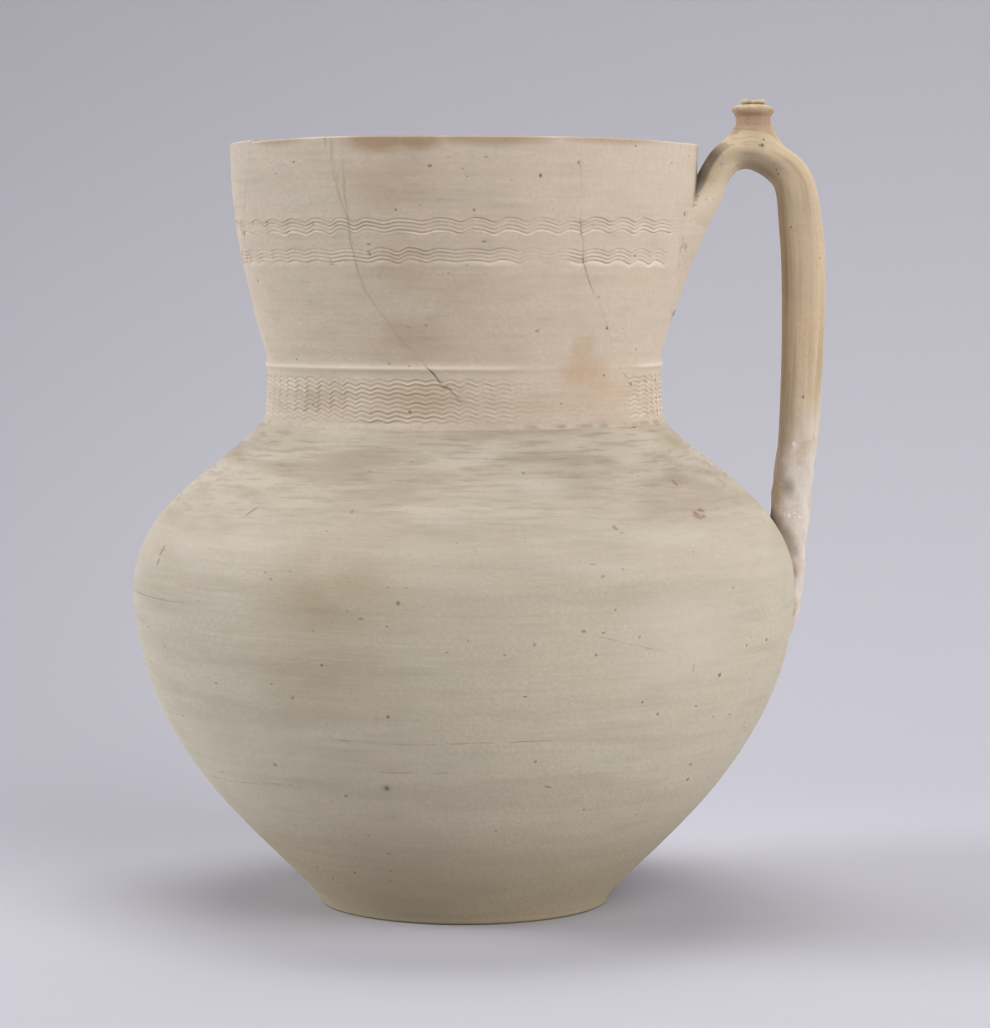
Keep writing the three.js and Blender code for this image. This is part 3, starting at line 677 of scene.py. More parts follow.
# Broad patches that the fire and the soil left, warm and pale, by the same kind of row.
BODY_TANS = (
    (-22, 101.0, 36.0, 22.0, 0, 1.0), (-24, 78.0, 34.0, 18.0, 0, 0.7), (69, 139.5, 15.0, 6.0, 0, 1.0))
BODY_CHALKS = ((40, 87.0, 36.0, 22.0, 0, 0.8), (15.8, 129.5, 16.0, 6.5, 0, 1.0))
# Heights in millimetres between which a tone comes in, and its strength: the brown wash below the neck, the
# chalk on the shoulder, the pink over both, and the ochre that makes the body darker and browner towards its
# foot.
BODY_WASHES = ((106, 136, 1.0), (96, 112, 1.0), (85, 120, 0.40), (46, 4, 0.46))
# Scored lines: height in millimetres, first and last angle in degrees, slope in millimetres to the degree.
SCORED_LINES = ((59.7, -24, 20, 0.0), (51.3, -16, -3, 0.01), (48.2, -68, -36, 0.1), (98.0, 22, 38, -0.4))
SCORE_HALF_WIDTH = 0.17 * MM
SCORE_WANDER = 1.2 * MM


def scored_lines(tree, places, most):
    """Fine lines that grit scored into the turning clay, as a share."""
    mirrored = put(tree, "ShaderNodeMapping", {"Vector": places, "Scale": (1.0, -1.0, 1.0)})
    x, y, z = put(tree, "ShaderNodeSeparateXYZ", {"Vector": mirrored}).node.outputs
    turn = put(tree, "ShaderNodeMath", {0: x, 1: y}, operation="ARCTAN2")
    wander = cloud(tree, places, (40, 40, 40), 0.0, 1.0, 2 * SCORE_WANDER, seed=5.8)
    shares = []
    for height, first, last, slope in SCORED_LINES:
        level = put(tree, "ShaderNodeMath", {
            0: turn, 1: slope * MM * 180 / math.pi, 2: height * MM - SCORE_WANDER}, operation="MULTIPLY_ADD")
        level = put(tree, "ShaderNodeMath", {0: level, 1: wander}, operation="ADD")
        line = put(tree, "ShaderNodeMath", {0: z, 1: level, 2: SCORE_HALF_WIDTH}, operation="COMPARE")
        run = put(tree, "ShaderNodeMath", {
            0: turn, 1: math.radians((first + last) / 2), 2: math.radians((last - first) / 2)},
            operation="COMPARE")
        shares.append(overlap(tree, [line, run]))
    broken = cloud(tree, places, (7, 7, 7), 0.36, 0.62, most, seed=1.1)
    return overlap(tree, [strongest(tree, shares), broken])


def buff_earthenware_thrown(sizes, colours):
    """Buff earthenware, thrown and wiped wet: matt, with fine level streaks, pits and washes of soil."""
    material, tree, places = new_surface("buff_earthenware_thrown")
    if tree is None:
        return material

    def radius_at(height):
        return body_radius(sizes, height)

    spots = [marks(tree, places, radius_at, BODY_SPOTS, most=0.72), scored_lines(tree, places, 0.30)]
    colour, height, roughness = fired_clay(
        tree, places, places, colours.body, colours, (26, 26, 1.3), 0.16, 0.36, spots)
    up = put(tree, "ShaderNodeSeparateXYZ", {"Vector": places}, out="Z")
    below_neck, on_shoulder, pink, ochre = [
        put(tree, "ShaderNodeMapRange", {"Value": up, 1: low * MM, 2: high * MM, 4: most},
            interpolation_type="SMOOTHSTEP") for low, high, most in BODY_WASHES]
    smudges, dashes, chalky = [
        overlap(tree, [zone, cloud(tree, places, *grain)]) for zone, *grain in (
            (below_neck, (34, 34, 5.5), 0.40, 0.66, 0.46, 4.0, 9.4),
            (below_neck, (12, 12, 1.0), 0.48, 0.68, 0.44, 4.0, 3.7),
            (on_shoulder, (40, 40, 5.5), 0.46, 0.66, 0.36, 3.0, 4.7))]
    bands = cloud(tree, places, (90, 90, 11), 0.48, 0.66, 0.16, seed=7.2)
    scuffs, tans, chalks = [
        patches(tree, places, radius_at, rows, soft, *grain) for rows, soft, *grain in (
            (BODY_SCUFFS, 0.5, (2.2, 2.2, 1.4), 0.34, 0.58, 0.7, 3.0, 6.4),
            (BODY_TANS, 1.0, (18, 18, 10), 0.10, 0.60, 0.75, 4.0, 8.8),
            (BODY_CHALKS, 1.0, (22, 22, 9), 0.10, 0.60, 0.65, 4.0, 1.7))]
    colour = layered(tree, colour, (
        ("#D2C2B2", pink), ("#DED4C6", chalky), (colours.wash, bands), (colours.wash, smudges),
        (colours.wash, dashes), ("#B3A283", tans), ("#DFD7CA", chalks), ("#9C8455", ochre),
        ("#8A5A42", scuffs)))
    finish_matt(tree, colour, height, 0.25 * MM, roughness)
    return material


class EWER_OT_body(bpy.types.Operator):
    """Make the two thrown halves of the body"""

    bl_idname = "ewer.body"
    bl_label = "Body"
    bl_options = {"REGISTER", "UNDO"}

    def execute(self, context):
        sizes, colours = context.scene.ewer_sizes, context.scene.ewer_colours
        material = buff_earthenware_thrown(sizes, colours)
        make_lower_body(sizes, material)
        make_shoulder(sizes, material)
        return {"FINISHED"}


# Neck


COLLAR_HOLLOW = 0.3 * MM
RIDGE_RISE = 15.7 * MM
RIDGE_PROUD = 0.55 * MM
RIDGE_ABOVE = 0.75 * MM
RIDGE_BELOW = 1.0 * MM
FLARE_START_OUT = 2.3 * MM
FLARE_START_UP = 9.5 * MM
FLARE_END_DOWN = 26.0 * MM
RIM_ROUND = 0.9 * MM
RIM_THINNING = 14.0 * MM
# How square the rim's rounding is: 1 would be a half circle.
RIM_SQUARE = 0.75
# Distances between rows of points outside, inside and at the ridge; and where they close up.
NECK_ROW, INNER_ROW, RIDGE_ROW = 1.1 * MM, 2.4 * MM, 0.25 * MM
RIDGE_NEAR, BAND_NEAR, ROWS_TO_A_LINE = 4 * MM, 1.2 * MM, 6
NECK_SEED = 17
# The spiral inside: its pitch and height.
NECK_SPIRAL = (6.5 * MM, 0.22 * MM)

# Each crack's rows are a share of the neck's height and degrees round from the front.
LEFT_CRACK = ((0, -92), (0.45, -80), (0.72, -71), (0.86, -65), (1, -62))
FRONT_CRACK = (
    (0, 7), (0.08, -0.2), (0.14, -6.0), (0.2, -10.4), (0.31, -18.5), (0.47, -26), (0.63, -28.7), (1, -29.6))
RIGHT_CRACK = (
    (0, 63), (0.1, 58), (0.19, 49.4), (0.35, 41.2), (0.48, 34), (0.57, 30.7), (0.74, 28.6), (1, 27.8))
RIM_FILL_DEPTH = 23.0 * MM
RIM_FILL_SPREAD = math.radians(5.6)
COLLAR_FILL_HEIGHT = 27.0 * MM
COLLAR_FILL_SPREAD = math.radians(43)
FILL_TIP = 0.3 * MM
CRACK_GAP = 0.008 * MM
# A crack's wander: degrees either way, and the run of each swing.
CRACK_WANDER = ((0.30, 4.5 * MM), (0.15, 1.3 * MM))
# Distances in from a broken edge at which a sherd's first columns of points lie.
EDGE_STEPS = np.array([0, 0.12, 0.28, 0.5, 0.85, 1.4]) * MM
# Chips along a crack: how deep, how far they reach in, and the gape at which they are full. A tight crack's
# edge is rubbed a little, over a shorter reach.
CHIP_DEPTH, CHIP_REACH, CHIP_GAPE = 0.30 * MM, 0.42 * MM, 0.25 * MM
RUBBED_EDGE, RUBBED_REACH = 0.05, 0.22 * MM

# How far the neck's foot is smeared down over the luting clay.
NECK_SMEAR = 1.3 * MM
# The combed bands: height of the lowest line and count of lines.
COLLAR_BAND = (146.6 * MM, 10)
SECOND_BAND = (191.8 * MM, 4)
UPPER_BAND = (200.4 * MM, 4)
HANDLE_ANGLE = math.radians(90)
HANDLE_CLEAR = math.radians(24)
# Heights below and above a band over which its waves die away.
WAVE_FADE_BELOW, WAVE_FADE_ABOVE = 2.3 * MM, (0.3 * MM, 2.6 * MM)
# A groove's section, as shares of the spacing: its half width, and the lips' place, half width and height.
GROOVE_WIDTH, LIP_AT, LIP_WIDTH, LIP_HEIGHT = 0.27, 0.47, 0.16, 0.30
# Where painted shade lies on a groove's upper wall, and where a painted highlight lies on its lower lip,
# partly rubbed pale clay, in such shares: place and half width.
SHADE_AT, SHADE_WIDTH, HIGHLIGHT_AT, HIGHLIGHT_WIDTH = 0.12, 0.22, -0.34, 0.18
# Where the collar's painted highlight and shade grow stronger on its sides, and where the combing is smeared
# or worn, in degrees round from the front.
COLLAR_SIDES = (38, 60)
COLLAR_SMEARED = (-33, -24)
COLLAR_WORN = (9, 19, 50, 56)
BANDS_WORN = (7, 15, 25, 28)
# Where the ridge is worn, and where the neck's foot and the luting clay swell out, in radians.
RIDGE_WORN = tuple(math.radians(turn) for turn in (8, 20, 54, 62))
FOOT_SWELL = tuple(math.radians(turn) for turn in (5, 25, 68, 80))
LUTING_SWELL = tuple(math.radians(turn) for turn in (5, 30, 66, 78))


def neck_radius(sizes, height, ridge=1.0):
    """Outside radius of the neck at a height, with the thrown ridge at its waist."""
    waist = sizes.neck_foot + sizes.waist_rise
    flare = curve(
        (sizes.waist_radius, waist),
        (sizes.waist_radius + FLARE_START_OUT, waist + FLARE_START_UP),
        (sizes.rim_radius, sizes.rim_height - FLARE_END_DOWN),
        (sizes.rim_radius, sizes.rim_height - RIM_ROUND), 0.5 * MM)
    share = np.clip((height - sizes.neck_foot) / sizes.waist_rise, 0, 1)
    collar = sizes.neck_radius + (sizes.waist_radius - sizes.neck_radius) * share
    collar = collar - COLLAR_HOLLOW * np.sin(np.pi * share)
    plain = np.where(height < waist, collar, np.interp(height, flare[:, 1], flare[:, 0]))
    off = height - sizes.neck_foot - RIDGE_RISE
    off = off / np.where(off > 0, RIDGE_ABOVE, RIDGE_BELOW)
    return plain + ridge * RIDGE_PROUD * bell(off, 1.0)


def crack_angle(sizes, table, height, seed):
    """A crack's angle at each height, with the small wander of broken clay."""
    share = (height - sizes.neck_foot) / (sizes.rim_height - sizes.neck_foot)
    rows = np.array(table, float)
    plain = np.interp(share, rows[:, 0], rows[:, 1])
    for number, (swing, run) in enumerate(CRACK_WANDER):
        plain = plain + swing * drift(height, run, seed + number)
    return np.radians(plain)


def crack_edges(sizes):
    """The neck's five broken edges, each as a function of height."""
    rim_fill_foot = sizes.rim_height - RIM_FILL_DEPTH
    collar_fill_top = sizes.neck_foot + COLLAR_FILL_HEIGHT

    def left(height):
        return crack_angle(sizes, LEFT_CRACK, height, 21)

    def front(height):
        return crack_angle(sizes, FRONT_CRACK, height, 31)

    def right(height):
        return crack_angle(sizes, RIGHT_CRACK, height, 41)

    def rim_fill(height):
        share = np.clip((height - rim_fill_foot) / RIM_FILL_DEPTH, 0, 1)
        return front(height) - RIM_FILL_SPREAD * share

    def collar_fill(height):
        share = np.clip((collar_fill_top - height) / COLLAR_FILL_HEIGHT, 0, 1)
        return right(height) - COLLAR_FILL_SPREAD * share

    return left, front, right, rim_fill, collar_fill


def comb_wave(reach, wave, swing, seed):
    """A comb's rise and fall along its line, drawn freehand."""
    turn = 2 * np.pi * reach / wave + 1.3 * drift(reach, 2.6 * wave, seed)
    size = 0.68 + 0.42 * drift(reach, 1.9 * wave, seed + 1)
    wander = 0.35 * swing * drift(reach, 5 * wave, seed + 2)
    return swing * size * (np.sin(turn) + 0.22 * np.sin(2 * turn + 0.9)) + wander


def comb_bands(combing):
    """Each band's foot, count of lines, their spacing, wave length, swing and seed."""
    return (
        (*COLLAR_BAND, combing.collar_spacing, combing.collar_wave, combing.collar_swing, 61),
        (*SECOND_BAND, combing.upper_spacing, combing.upper_wave, combing.upper_swing, 71),
        (*UPPER_BAND, combing.upper_spacing, combing.upper_wave, combing.upper_swing, 81))


def neck_rows(sizes, combing, foot, top):
    """Heights of the neck's rows: close in the combed bands and at the ridge, wider elsewhere."""
    heights = [foot]
    ridge = sizes.neck_foot + RIDGE_RISE
    while heights[-1] < top:
        here = heights[-1]
        step = NECK_ROW
        if abs(here - ridge) < RIDGE_NEAR:
            step = RIDGE_ROW
        for band, lines, spacing, *_ in comb_bands(combing):
            if band - BAND_NEAR < here < band + lines * spacing:
                step = spacing / ROWS_TO_A_LINE
        heights.append(here + step)
    heights[-1] = top
    return np.array(heights)


def combing_relief(sizes, combing, height, angle, strength, seed):
    """The rows' rise with the comb's waves, the grooves' depth, from 0 to 1, and the painted shade and
    highlight on them.

    Above nothing this is painted shade on the grooves' upper walls; below nothing it is a painted highlight
    on their lower lips, partly rubbed pale clay.
    """
    reach = angle * sizes.neck_radius
    degrees = np.degrees(angle)
    rise = np.zeros(np.broadcast(height, angle).shape)
    depth, soil = np.zeros_like(rise), np.zeros_like(rise)
    from_handle = np.abs((angle - HANDLE_ANGLE + np.pi) % (2 * np.pi) - np.pi)
    aside = ease(np.abs((degrees + 180) % 360 - 180), *COLLAR_SIDES)
    for band, (foot, lines, spacing, wave, swing, band_seed) in enumerate(comb_bands(combing)):
        top = foot + (lines - 1) * spacing
        fall = min(WAVE_FADE_BELOW, foot - sizes.neck_foot + NECK_SMEAR)
        held = within(height, foot - fall, foot - 0.15 * fall, *(top + above for above in WAVE_FADE_ABOVE))
        rise = rise + held * comb_wave(reach, wave, swing, band_seed + seed)
        line = np.round((height - foot) / spacing)
        off = (height - foot - line * spacing) / spacing
        place = np.stack(np.broadcast_arrays(reach, line * 1.0, 0 * reach), -1)
        shown = np.clip(0.8 + 0.6 * lumps(place, (13 * MM, 0.9, 1.0), band_seed + seed + 5), 0.1, 1.1)
        rubbed = np.clip(0.6 + 0.9 * lumps(place, (10 * MM, 0.9, 1.0), band_seed + seed + 9), 0, 1.2)
        # Painted shade on the grooves' upper walls, strongest on each band's top line.
        groove_shade = np.where(line == lines - 1, 0.10, 0.02)
        if band == 0:
            smeared = (1 - ease(degrees, *COLLAR_SMEARED)) * (1 - ease(line, 0.0, 2.5))
            shown = shown * (1 - 0.65 * smeared) * (1 - 0.75 * within(degrees, *COLLAR_WORN))
            # On the collar's sides the painted highlight and painted shade are made stronger.
            rubbed = 0.46 * rubbed * (1 + 0.9 * aside)
            groove_shade = groove_shade + 0.07 * aside
        else:
            worn = (0.75 if band == 1 else 0.35) * within(degrees, *BANDS_WORN)
            shown = shown * (1 - worn) * ease(from_handle, HANDLE_CLEAR, 1.25 * HANDLE_CLEAR)
            rubbed = 0.75 * rubbed * (1.15 - 0.3 * line)
        shown = np.where((line >= 0) & (line <= lines - 1), shown * strength, 0)
        depth = depth + shown * (bell(off, GROOVE_WIDTH) - LIP_HEIGHT * bell(np.abs(off) - LIP_AT, LIP_WIDTH))
        # A painted highlight on each groove's lower lip, partly rubbed pale clay.
        painted_highlight = np.clip(rubbed, 0, 1.2) * bell(off - HIGHLIGHT_AT, HIGHLIGHT_WIDTH)
        soil = soil + shown * (groove_shade * bell(off - SHADE_AT, SHADE_WIDTH) - painted_highlight)
    return rise, depth, soil


def edge_columns(span, spacing):
    """Shares across a sherd, close together near its two broken edges."""
    middle = np.linspace(EDGE_STEPS[-1], span - EDGE_STEPS[-1], max(4, round(span / spacing)))[1:-1]
    return np.concatenate([EDGE_STEPS, middle, span - EDGE_STEPS[::-1]]) / span


# Where each crack gapes: rows of height, width and reach, in millimetres.
FRONT_GAPES = (
    (160.9, 0.24, 1.6), (157.2, 0.24, 2.4), (153.9, 0.13, 1.5), (206, 0.14, 6), (193, 0.10, 7),
    (181, 0.05, 6), (171, 0.035, 6))
RIGHT_GAPES = ((201, 0.17, 2.6), (192.5, 0.18, 3.2), (186, 0.10, 2.5), (217, 0.04, 4), (175, 0.04, 4))
LEFT_GAPES = ((208, 0.06, 12),)
TIGHT = ()


def gape(height, rows):
    """How wide a crack stands open at each height."""
    return sum((width * MM * bell(height - at * MM, reach * MM) for at, width, reach in rows), 0 * height)


# Soil and painted shade behind the strap: distances round over which they fade, and heights where they start
# and grow paler.
CROTCH_ACROSS = (6 * MM, 17 * MM)
CROTCH_FOOT = (205 * MM, 211 * MM)
CROTCH_PALER = (218 * MM, 226 * MM)


def crotch_soil_and_shade(across, height, places):
    """Soil and painted shade on the neck behind the strap, by distance round from the handle's middle and by
    height.
    """
    patchy = lumpy(places, (1.5, 6, 39))
    near = (1 - ease(np.abs(across) + patchy, *CROTCH_ACROSS)) * ease(height + patchy, *CROTCH_FOOT)
    return 0.9 * near * (1 - 0.45 * ease(height + patchy, *CROTCH_PALER))


def make_sherd(sizes, combing, name, material, slot, node, start, end, gapes, foot=None, top=None,
               spacing=0.62 * MM, comb=1.0, ridge=1.0, wave_seed=0, sunk=0.0):
    """One piece of the neck's wall between two broken edges."""
    # The section: up the outside, over the rim if the piece reaches it, and down the inside.
    foot = sizes.neck_foot - NECK_SMEAR if foot is None else foot
    at_foot = foot < sizes.neck_foot
    to_rim = top is None
    top = sizes.rim_height - RIM_ROUND if to_rim else top
    heights = neck_rows(sizes, combing, foot, top)
    inner_heights = np.linspace(top, foot, max(3, round((top - foot) / INNER_ROW)))
    wall = sizes.neck_wall + (sizes.rim_wall - sizes.neck_wall) * ease(
        inner_heights, sizes.rim_height - RIM_THINNING, sizes.rim_height - RIM_ROUND)
    inner_radius = neck_radius(sizes, inner_heights, 0) - wall
    outer_radius = neck_radius(sizes, heights, ridge)
    turn = np.linspace(0, np.pi, 11)[1:-1] if to_rim else np.zeros(0)
    half = (outer_radius[-1] - inner_radius[0]) / 2
    lip_radius = outer_radius[-1] - half + half * np.sign(np.cos(turn)) * np.abs(np.cos(turn)) ** RIM_SQUARE
    lip_height = top + RIM_ROUND * np.sin(turn) ** RIM_SQUARE
    radius = np.concatenate([outer_radius, lip_radius, inner_radius])[:, None]
    height = np.concatenate([heights, lip_height, inner_heights])[:, None]
    outside = (np.arange(len(height)) < len(heights))[:, None]
    inside = (np.arange(len(height)) >= len(heights) + len(turn))[:, None]
    out_share = np.concatenate([np.ones(len(heights)), np.cos(turn), -np.ones(len(inner_heights))])
    slope = np.gradient(outer_radius, heights)
    up_share = np.concatenate([-slope, np.sin(turn), np.zeros(len(inner_heights))])
    facing = np.stack([out_share, up_share], 1) / np.hypot(out_share, up_share)[:, None]

    # The plain wall between its edges, its rows lifted by the comb's waves.
    edges = start(height), end(height)
    open_by = [gape(height, rows) for rows in gapes]
    column = edge_columns(float(np.max((edges[1] - edges[0]) * radius)), spacing)
    first = edges[0] + (CRACK_GAP + open_by[0] / 2) / radius
    last = edges[1] - (CRACK_GAP + open_by[1] / 2) / radius
    angle = first + (last - first) * column
    rise, depth, combed_shade_and_highlight = combing_relief(sizes, combing, height, angle, comb, wave_seed)
    foot_wander = 0.5 * drift(angle, 0.045, 15) + 0.3 * drift(angle, 0.016, 16)
    rise = rise + foot_wander * MM * np.exp(-(height - foot) / (0.9 * MM)) * at_foot
    shifted = height + rise * outside
    worn = within(angle, *RIDGE_WORN)
    out = np.where(outside, neck_radius(sizes, shifted, ridge * (1 - 0.55 * worn)), radius)
    flat = around(out, angle, shifted)

    # How far the surface stands off the plain wall: turning marks, grooves, chips and the ragged foot.
    turned = drawn_marks(flat, TURNING_MARKS, NECK_SEED)
    relief = np.where(outside, turned - combing.groove_depth * depth - sunk, 0)
    relief -= np.where(inside, throwing_spiral(angle, shifted, *NECK_SPIRAL), 0)
    chips = np.zeros_like(angle)
    for side, edge in enumerate(edges):
        reach = np.abs(angle - edge) * radius
        broken = np.clip(open_by[side] / CHIP_GAPE, 0, 1) * (0.7 + 0.6 * lumps(flat, 1.6 * MM, 91 + side))
        rubbed = RUBBED_EDGE * np.exp(-reach / RUBBED_REACH)
        chips += np.clip(broken, 0, 1) * np.exp(-reach / CHIP_REACH) + rubbed
    relief -= np.where(inside, 0, CHIP_DEPTH * chips)
    ragged = np.where(outside, np.exp(-(shifted - sizes.neck_foot) / (1.1 * MM)), 0)
    swell = within(angle, *FOOT_SWELL)
    swollen = 0.22 * MM * swell * (0.7 + 0.6 * lumps(flat, 4.5 * MM, 7))
    relief += ragged * (swollen + lumpy(flat, (0.10, 5, 8)))
    uneven = 0.35 * MM * drift(angle, 0.55, 14) * ease(shifted, sizes.rim_height - 9 * MM, sizes.rim_height)
    points = around(out + facing[:, :1] * relief, angle, shifted + facing[:, 1:] * relief + uneven)

    # Painted shade and highlight in the grooves, a painted highlight on the ridge's crest and painted shadow
    # under it, soil in the chips, soil and painted shadow along the foot, and soil and painted shade behind
    # the strap.
    above_ridge = height - sizes.neck_foot - RIDGE_RISE
    ridge_highlight, under = bell(above_ridge - 0.1 * MM, 0.5 * MM), bell(above_ridge + 0.9 * MM, 0.4 * MM)
    soil = (combed_shade_and_highlight + ridge * (1 - 0.85 * worn) * (0.06 * under - 0.70 * ridge_highlight)) * outside
    soil = np.clip(soil + 0.55 * np.clip(chips, 0, 1), -1.0, 0.7)
    # Soil along the neck's foot, with painted shadow under its swollen lip at the right.
    seam = np.where(outside, np.exp(-(shifted - foot) / (0.9 * MM)), 0) * at_foot
    soil = soil + (0.10 + 0.26 * swell) * seam * np.clip(0.9 + 0.35 * lumps(flat, 7 * MM, 9), 0, 1)
    soil = soil + crotch_soil_and_shade((angle - HANDLE_ANGLE) * radius, shifted, flat) * outside

    net = Net()
    numbers = net.lay(points, soil, box=(0, 0, 0.96, 1), round_rows=True)
    middle = len(heights) + len(turn) // 2
    outer, inner = np.arange(middle + 1), np.arange(len(height) - 1, middle - 1, -1)
    for side, box in ((0, (0.965, 0, 0.98, 1)), (-1, (0.985, 0, 1.0, 1))):
        reaches = [np.maximum.accumulate((points[rows, side, 2] - foot) / (sizes.rim_height - foot))
                   for rows in (outer, inner)]
        net.close(numbers[outer, side], numbers[inner, side], *reaches, box, flip=side == -1)
    net.piece(name, material, slot, node, sharp=50)


# Marks on the neck, by rows like the body's.
NECK_SPOTS = (
    (-7.9, 218.4, 0.9, 0.5, 0, 0.8), (17.9, 215.8, 0.6, 0.7, 0, 0.9), (27.5, 219.6, 0.5, 0.7, 0, 0.7),
    (-16.2, 206.3, 0.5, 0.5, 0, 0.7), (2.3, 206.2, 0.5, 0.5, 0, 0.7), (-23.5, 193.9, 0.5, 0.6, 0, 0.8),
    (-68.4, 186.5, 0.7, 0.6, 0, 0.7), (19.6, 172.4, 0.9, 0.4, -20, 0.6))
RIM_STAINS = (
    (-20, 226.0, 15.0, 5.4, 0, 1.0), (-11, 226.0, 11.0, 5.0, 0, 1.0), (-50, 226.6, 15.0, 2.8, 0, 0.6),
    (6, 226.6, 24.0, 3.4, 0, 0.75), (38, 226.8, 26.0, 2.8, 0, 0.65))
TANNED = (
    (-18, 213.0, 22.0, 14.0, 0, 1.0), (-14, 153.0, 24.0, 9.0, 0, 1.0), (-2, 184.0, 16.0, 10.0, 0, 0.5),
    (22, 152.0, 34.0, 8.0, 0, 0.5), (60, 154.0, 16.0, 8.0, 0, 0.6), (-16, 190.0, 19.0, 17.0, 0, 0.8),
    (-16, 170.0, 19.0, 11.0, 0, 0.9), (-42, 153.0, 18.0, 9.0, 0, 0.6))
COLLAR_SMEARS = (
    (34.5, 167.0, 6.0, 8.5, 0, 0.8), (36.0, 160.5, 13.5, 6.5, 0, 1.0), (41.0, 157.5, 11.0, 4.5, 0, 0.8),
    (40.0, 152.0, 18.0, 7.0, 0, 0.4))
# Heights over which the brush marks on the rim's fill come in.
BRUSHED = (180 * MM, 200 * MM)


def stained(tree, places, sizes, colour):
    """The neck's colour with its tan patches, the stain at the rim and the smear over the mended collar."""
    tanned, rim, smear = [
        patches(tree, places, lambda height: neck_radius(sizes, height, 0), rows, soft, *grain)
        for rows, soft, *grain in (
            (TANNED, 1.0, (12, 12, 8), 0.15, 0.6, 0.50, 3.0, 2.3),
            (RIM_STAINS, 0.7, (14, 14, 7), -0.05, 0.48, 0.68, 3.0, 5.5),
            (COLLAR_SMEARS, 0.8, (6, 6, 9), 0.10, 0.60, 0.60, 5.0, 3.1))]
    return layered(tree, colour, (("#B99F7C", tanned), ("#A5845A", rim), ("#C8A67E", smear)))


def buff_earthenware_combed(sizes, colours):
    """Buff earthenware, thrown, then combed while soft: matt, with soil in the grooves and a stained rim."""
    material, tree, places = new_surface("buff_earthenware_combed")
    if tree is None:
        return material
    spots = [marks(tree, places, lambda height: neck_radius(sizes, height, 0), NECK_SPOTS, most=0.72)]
    colour, height, roughness = fired_clay(
        tree, places, places, colours.neck, colours, (30, 30, 1.5), 0.12, 0.50, spots)
    finish_matt(tree, stained(tree, places, sizes, colour), height, 0.2 * MM, roughness)
    return material


def toned_plaster_scraped(sizes, colours):
    """Gypsum plaster, toned with earths and scraped level: chalky, flatter than clay, with brush marks."""
    material, tree, places = new_surface("toned_plaster_scraped")
    if tree is None:
        return material
    colour, height, roughness = fired_clay(
        tree, places, places, colours.fill, colours, (30, 30, 1.5), 0.08, 0.40)
    up = put(tree, "ShaderNodeSeparateXYZ", {"Vector": places}, out="Z")
    at_rim = put(tree, "ShaderNodeMapRange", {"Value": up, 1: BRUSHED[0], 2: BRUSHED[1]})
    strokes = cloud(tree, places, (1.4, 1.4, 14), 0.45, 0.68, 0.6, detail=4.0, seed=6.2)
    colour = layered(tree, colour, (("#BFA171", overlap(tree, [at_rim, strokes])),))
    finish_matt(tree, stained(tree, places, sizes, colour), height, 0.12 * MM, roughness)
    return material


class EWER_OT_neck(bpy.types.Operator):
    """Make the neck's three combed sherds and its two fills"""

    bl_idname = "ewer.neck"
    bl_label = "Neck"
    bl_options = {"REGISTER", "UNDO"}

    def execute(self, context):
        scene = context.scene
        sizes, combing, colours = scene.ewer_sizes, scene.ewer_combing, scene.ewer_colours
        clay = buff_earthenware_combed(sizes, colours)
        plaster = toned_plaster_scraped(sizes, colours)
        left, front, right, rim_fill, collar_fill = crack_edges(sizes)
        for name, material, slot, node, start, end, gapes, more in (
            ("neck_left_combed", clay, "neck_clay", "neck_left_sherd", left, rim_fill,
             (LEFT_GAPES, FRONT_GAPES), {}),
            ("neck_front_combed", clay, "neck_clay", "neck_front_sherd", front, collar_fill,
             (FRONT_GAPES, RIGHT_GAPES), {}),
            ("neck_handle_combed", clay, "neck_clay", "neck_handle_sherd", right,
             lambda height: left(height) + 2 * np.pi, (RIGHT_GAPES, LEFT_GAPES),
             {"spacing": 0.88 * MM, "wave_seed": 3}),
            ("rim_fill_scraped", plaster, "toned_fill", "rim_fill", rim_fill, front, (TIGHT, TIGHT),
             {"foot": sizes.rim_height - RIM_FILL_DEPTH + FILL_TIP, "comb": 0.0, "sunk": 0.05 * MM}),
            ("collar_fill_scraped", plaster, "toned_fill", "collar_fill", collar_fill, right, (TIGHT, TIGHT),
             {"top": sizes.neck_foot + COLLAR_FILL_HEIGHT - FILL_TIP, "comb": 0.6, "ridge": 0.8,
              "sunk": 0.02 * MM}),
        ):
            make_sherd(sizes, combing, name, material, slot, node, start, end, gapes, **more)
        return {"FINISHED"}


# Handle


# The strap's middle line, over the arch and down: distance out, height and thickness, in millimetres.
LEG_STATIONS = (
    (72.0, 211.2, 9.2), (75.2, 218.7, 9.2), (79.7, 223.7, 10.0), (86.3, 224.5, 10.0), (97.3, 217.9, 11.6),
    (100.8, 201.6, 13.1), (101.7, 182.9, 13.1), (100.3, 139.9, 11.8), (98.2, 122.0, 11.8))
ROOT_HEIGHT = 185.9 * MM
ROOT_SINK = 5.6 * MM
ROOT_THICKNESS = 7.5 * MM
BREAK_HEIGHT = 139.7 * MM
IN_WALL = 2.2 * MM
ROOT_WIDTH = 38.0 * MM
ROOT_SWEEP = 4.5 * MM
ROOT_SWEEP_AT = 20.0 * MM
# Heights between which the strap spreads to its root.
ROOT_SPREADS = (201 * MM, 216 * MM)
# The part of the strap that lies on the neck: how far below the rim, and how far out at most.
ROOT_BELOW_RIM, ROOT_OUT = 12 * MM, 80 * MM
# Soil and painted shade on the strap behind its arch: distances off the neck and heights where they fade, and
# where they end.
CROTCH_OFF_NECK = (2 * MM, 16 * MM)
CROTCH_STRAP_FOOT = (204 * MM, 208 * MM)
CROTCH_OUT = 84 * MM
# Painted shade under the arch, by distance out.
ARCH_SPAN = (77 * MM, 84 * MM, 92 * MM, 99 * MM)

# Half of the strap's section as shares of its half thickness and half width, from the finger gap outwards.
STRAP_CORNERS = ((1.0, 0.34), (0.84, 0.74), (0.48, 0.97), (0.0, 1.03), (-0.56, 0.97), (-1.0, 0.42))
STRAP_POINTS = 88
STRAP_ROW = 0.6 * MM
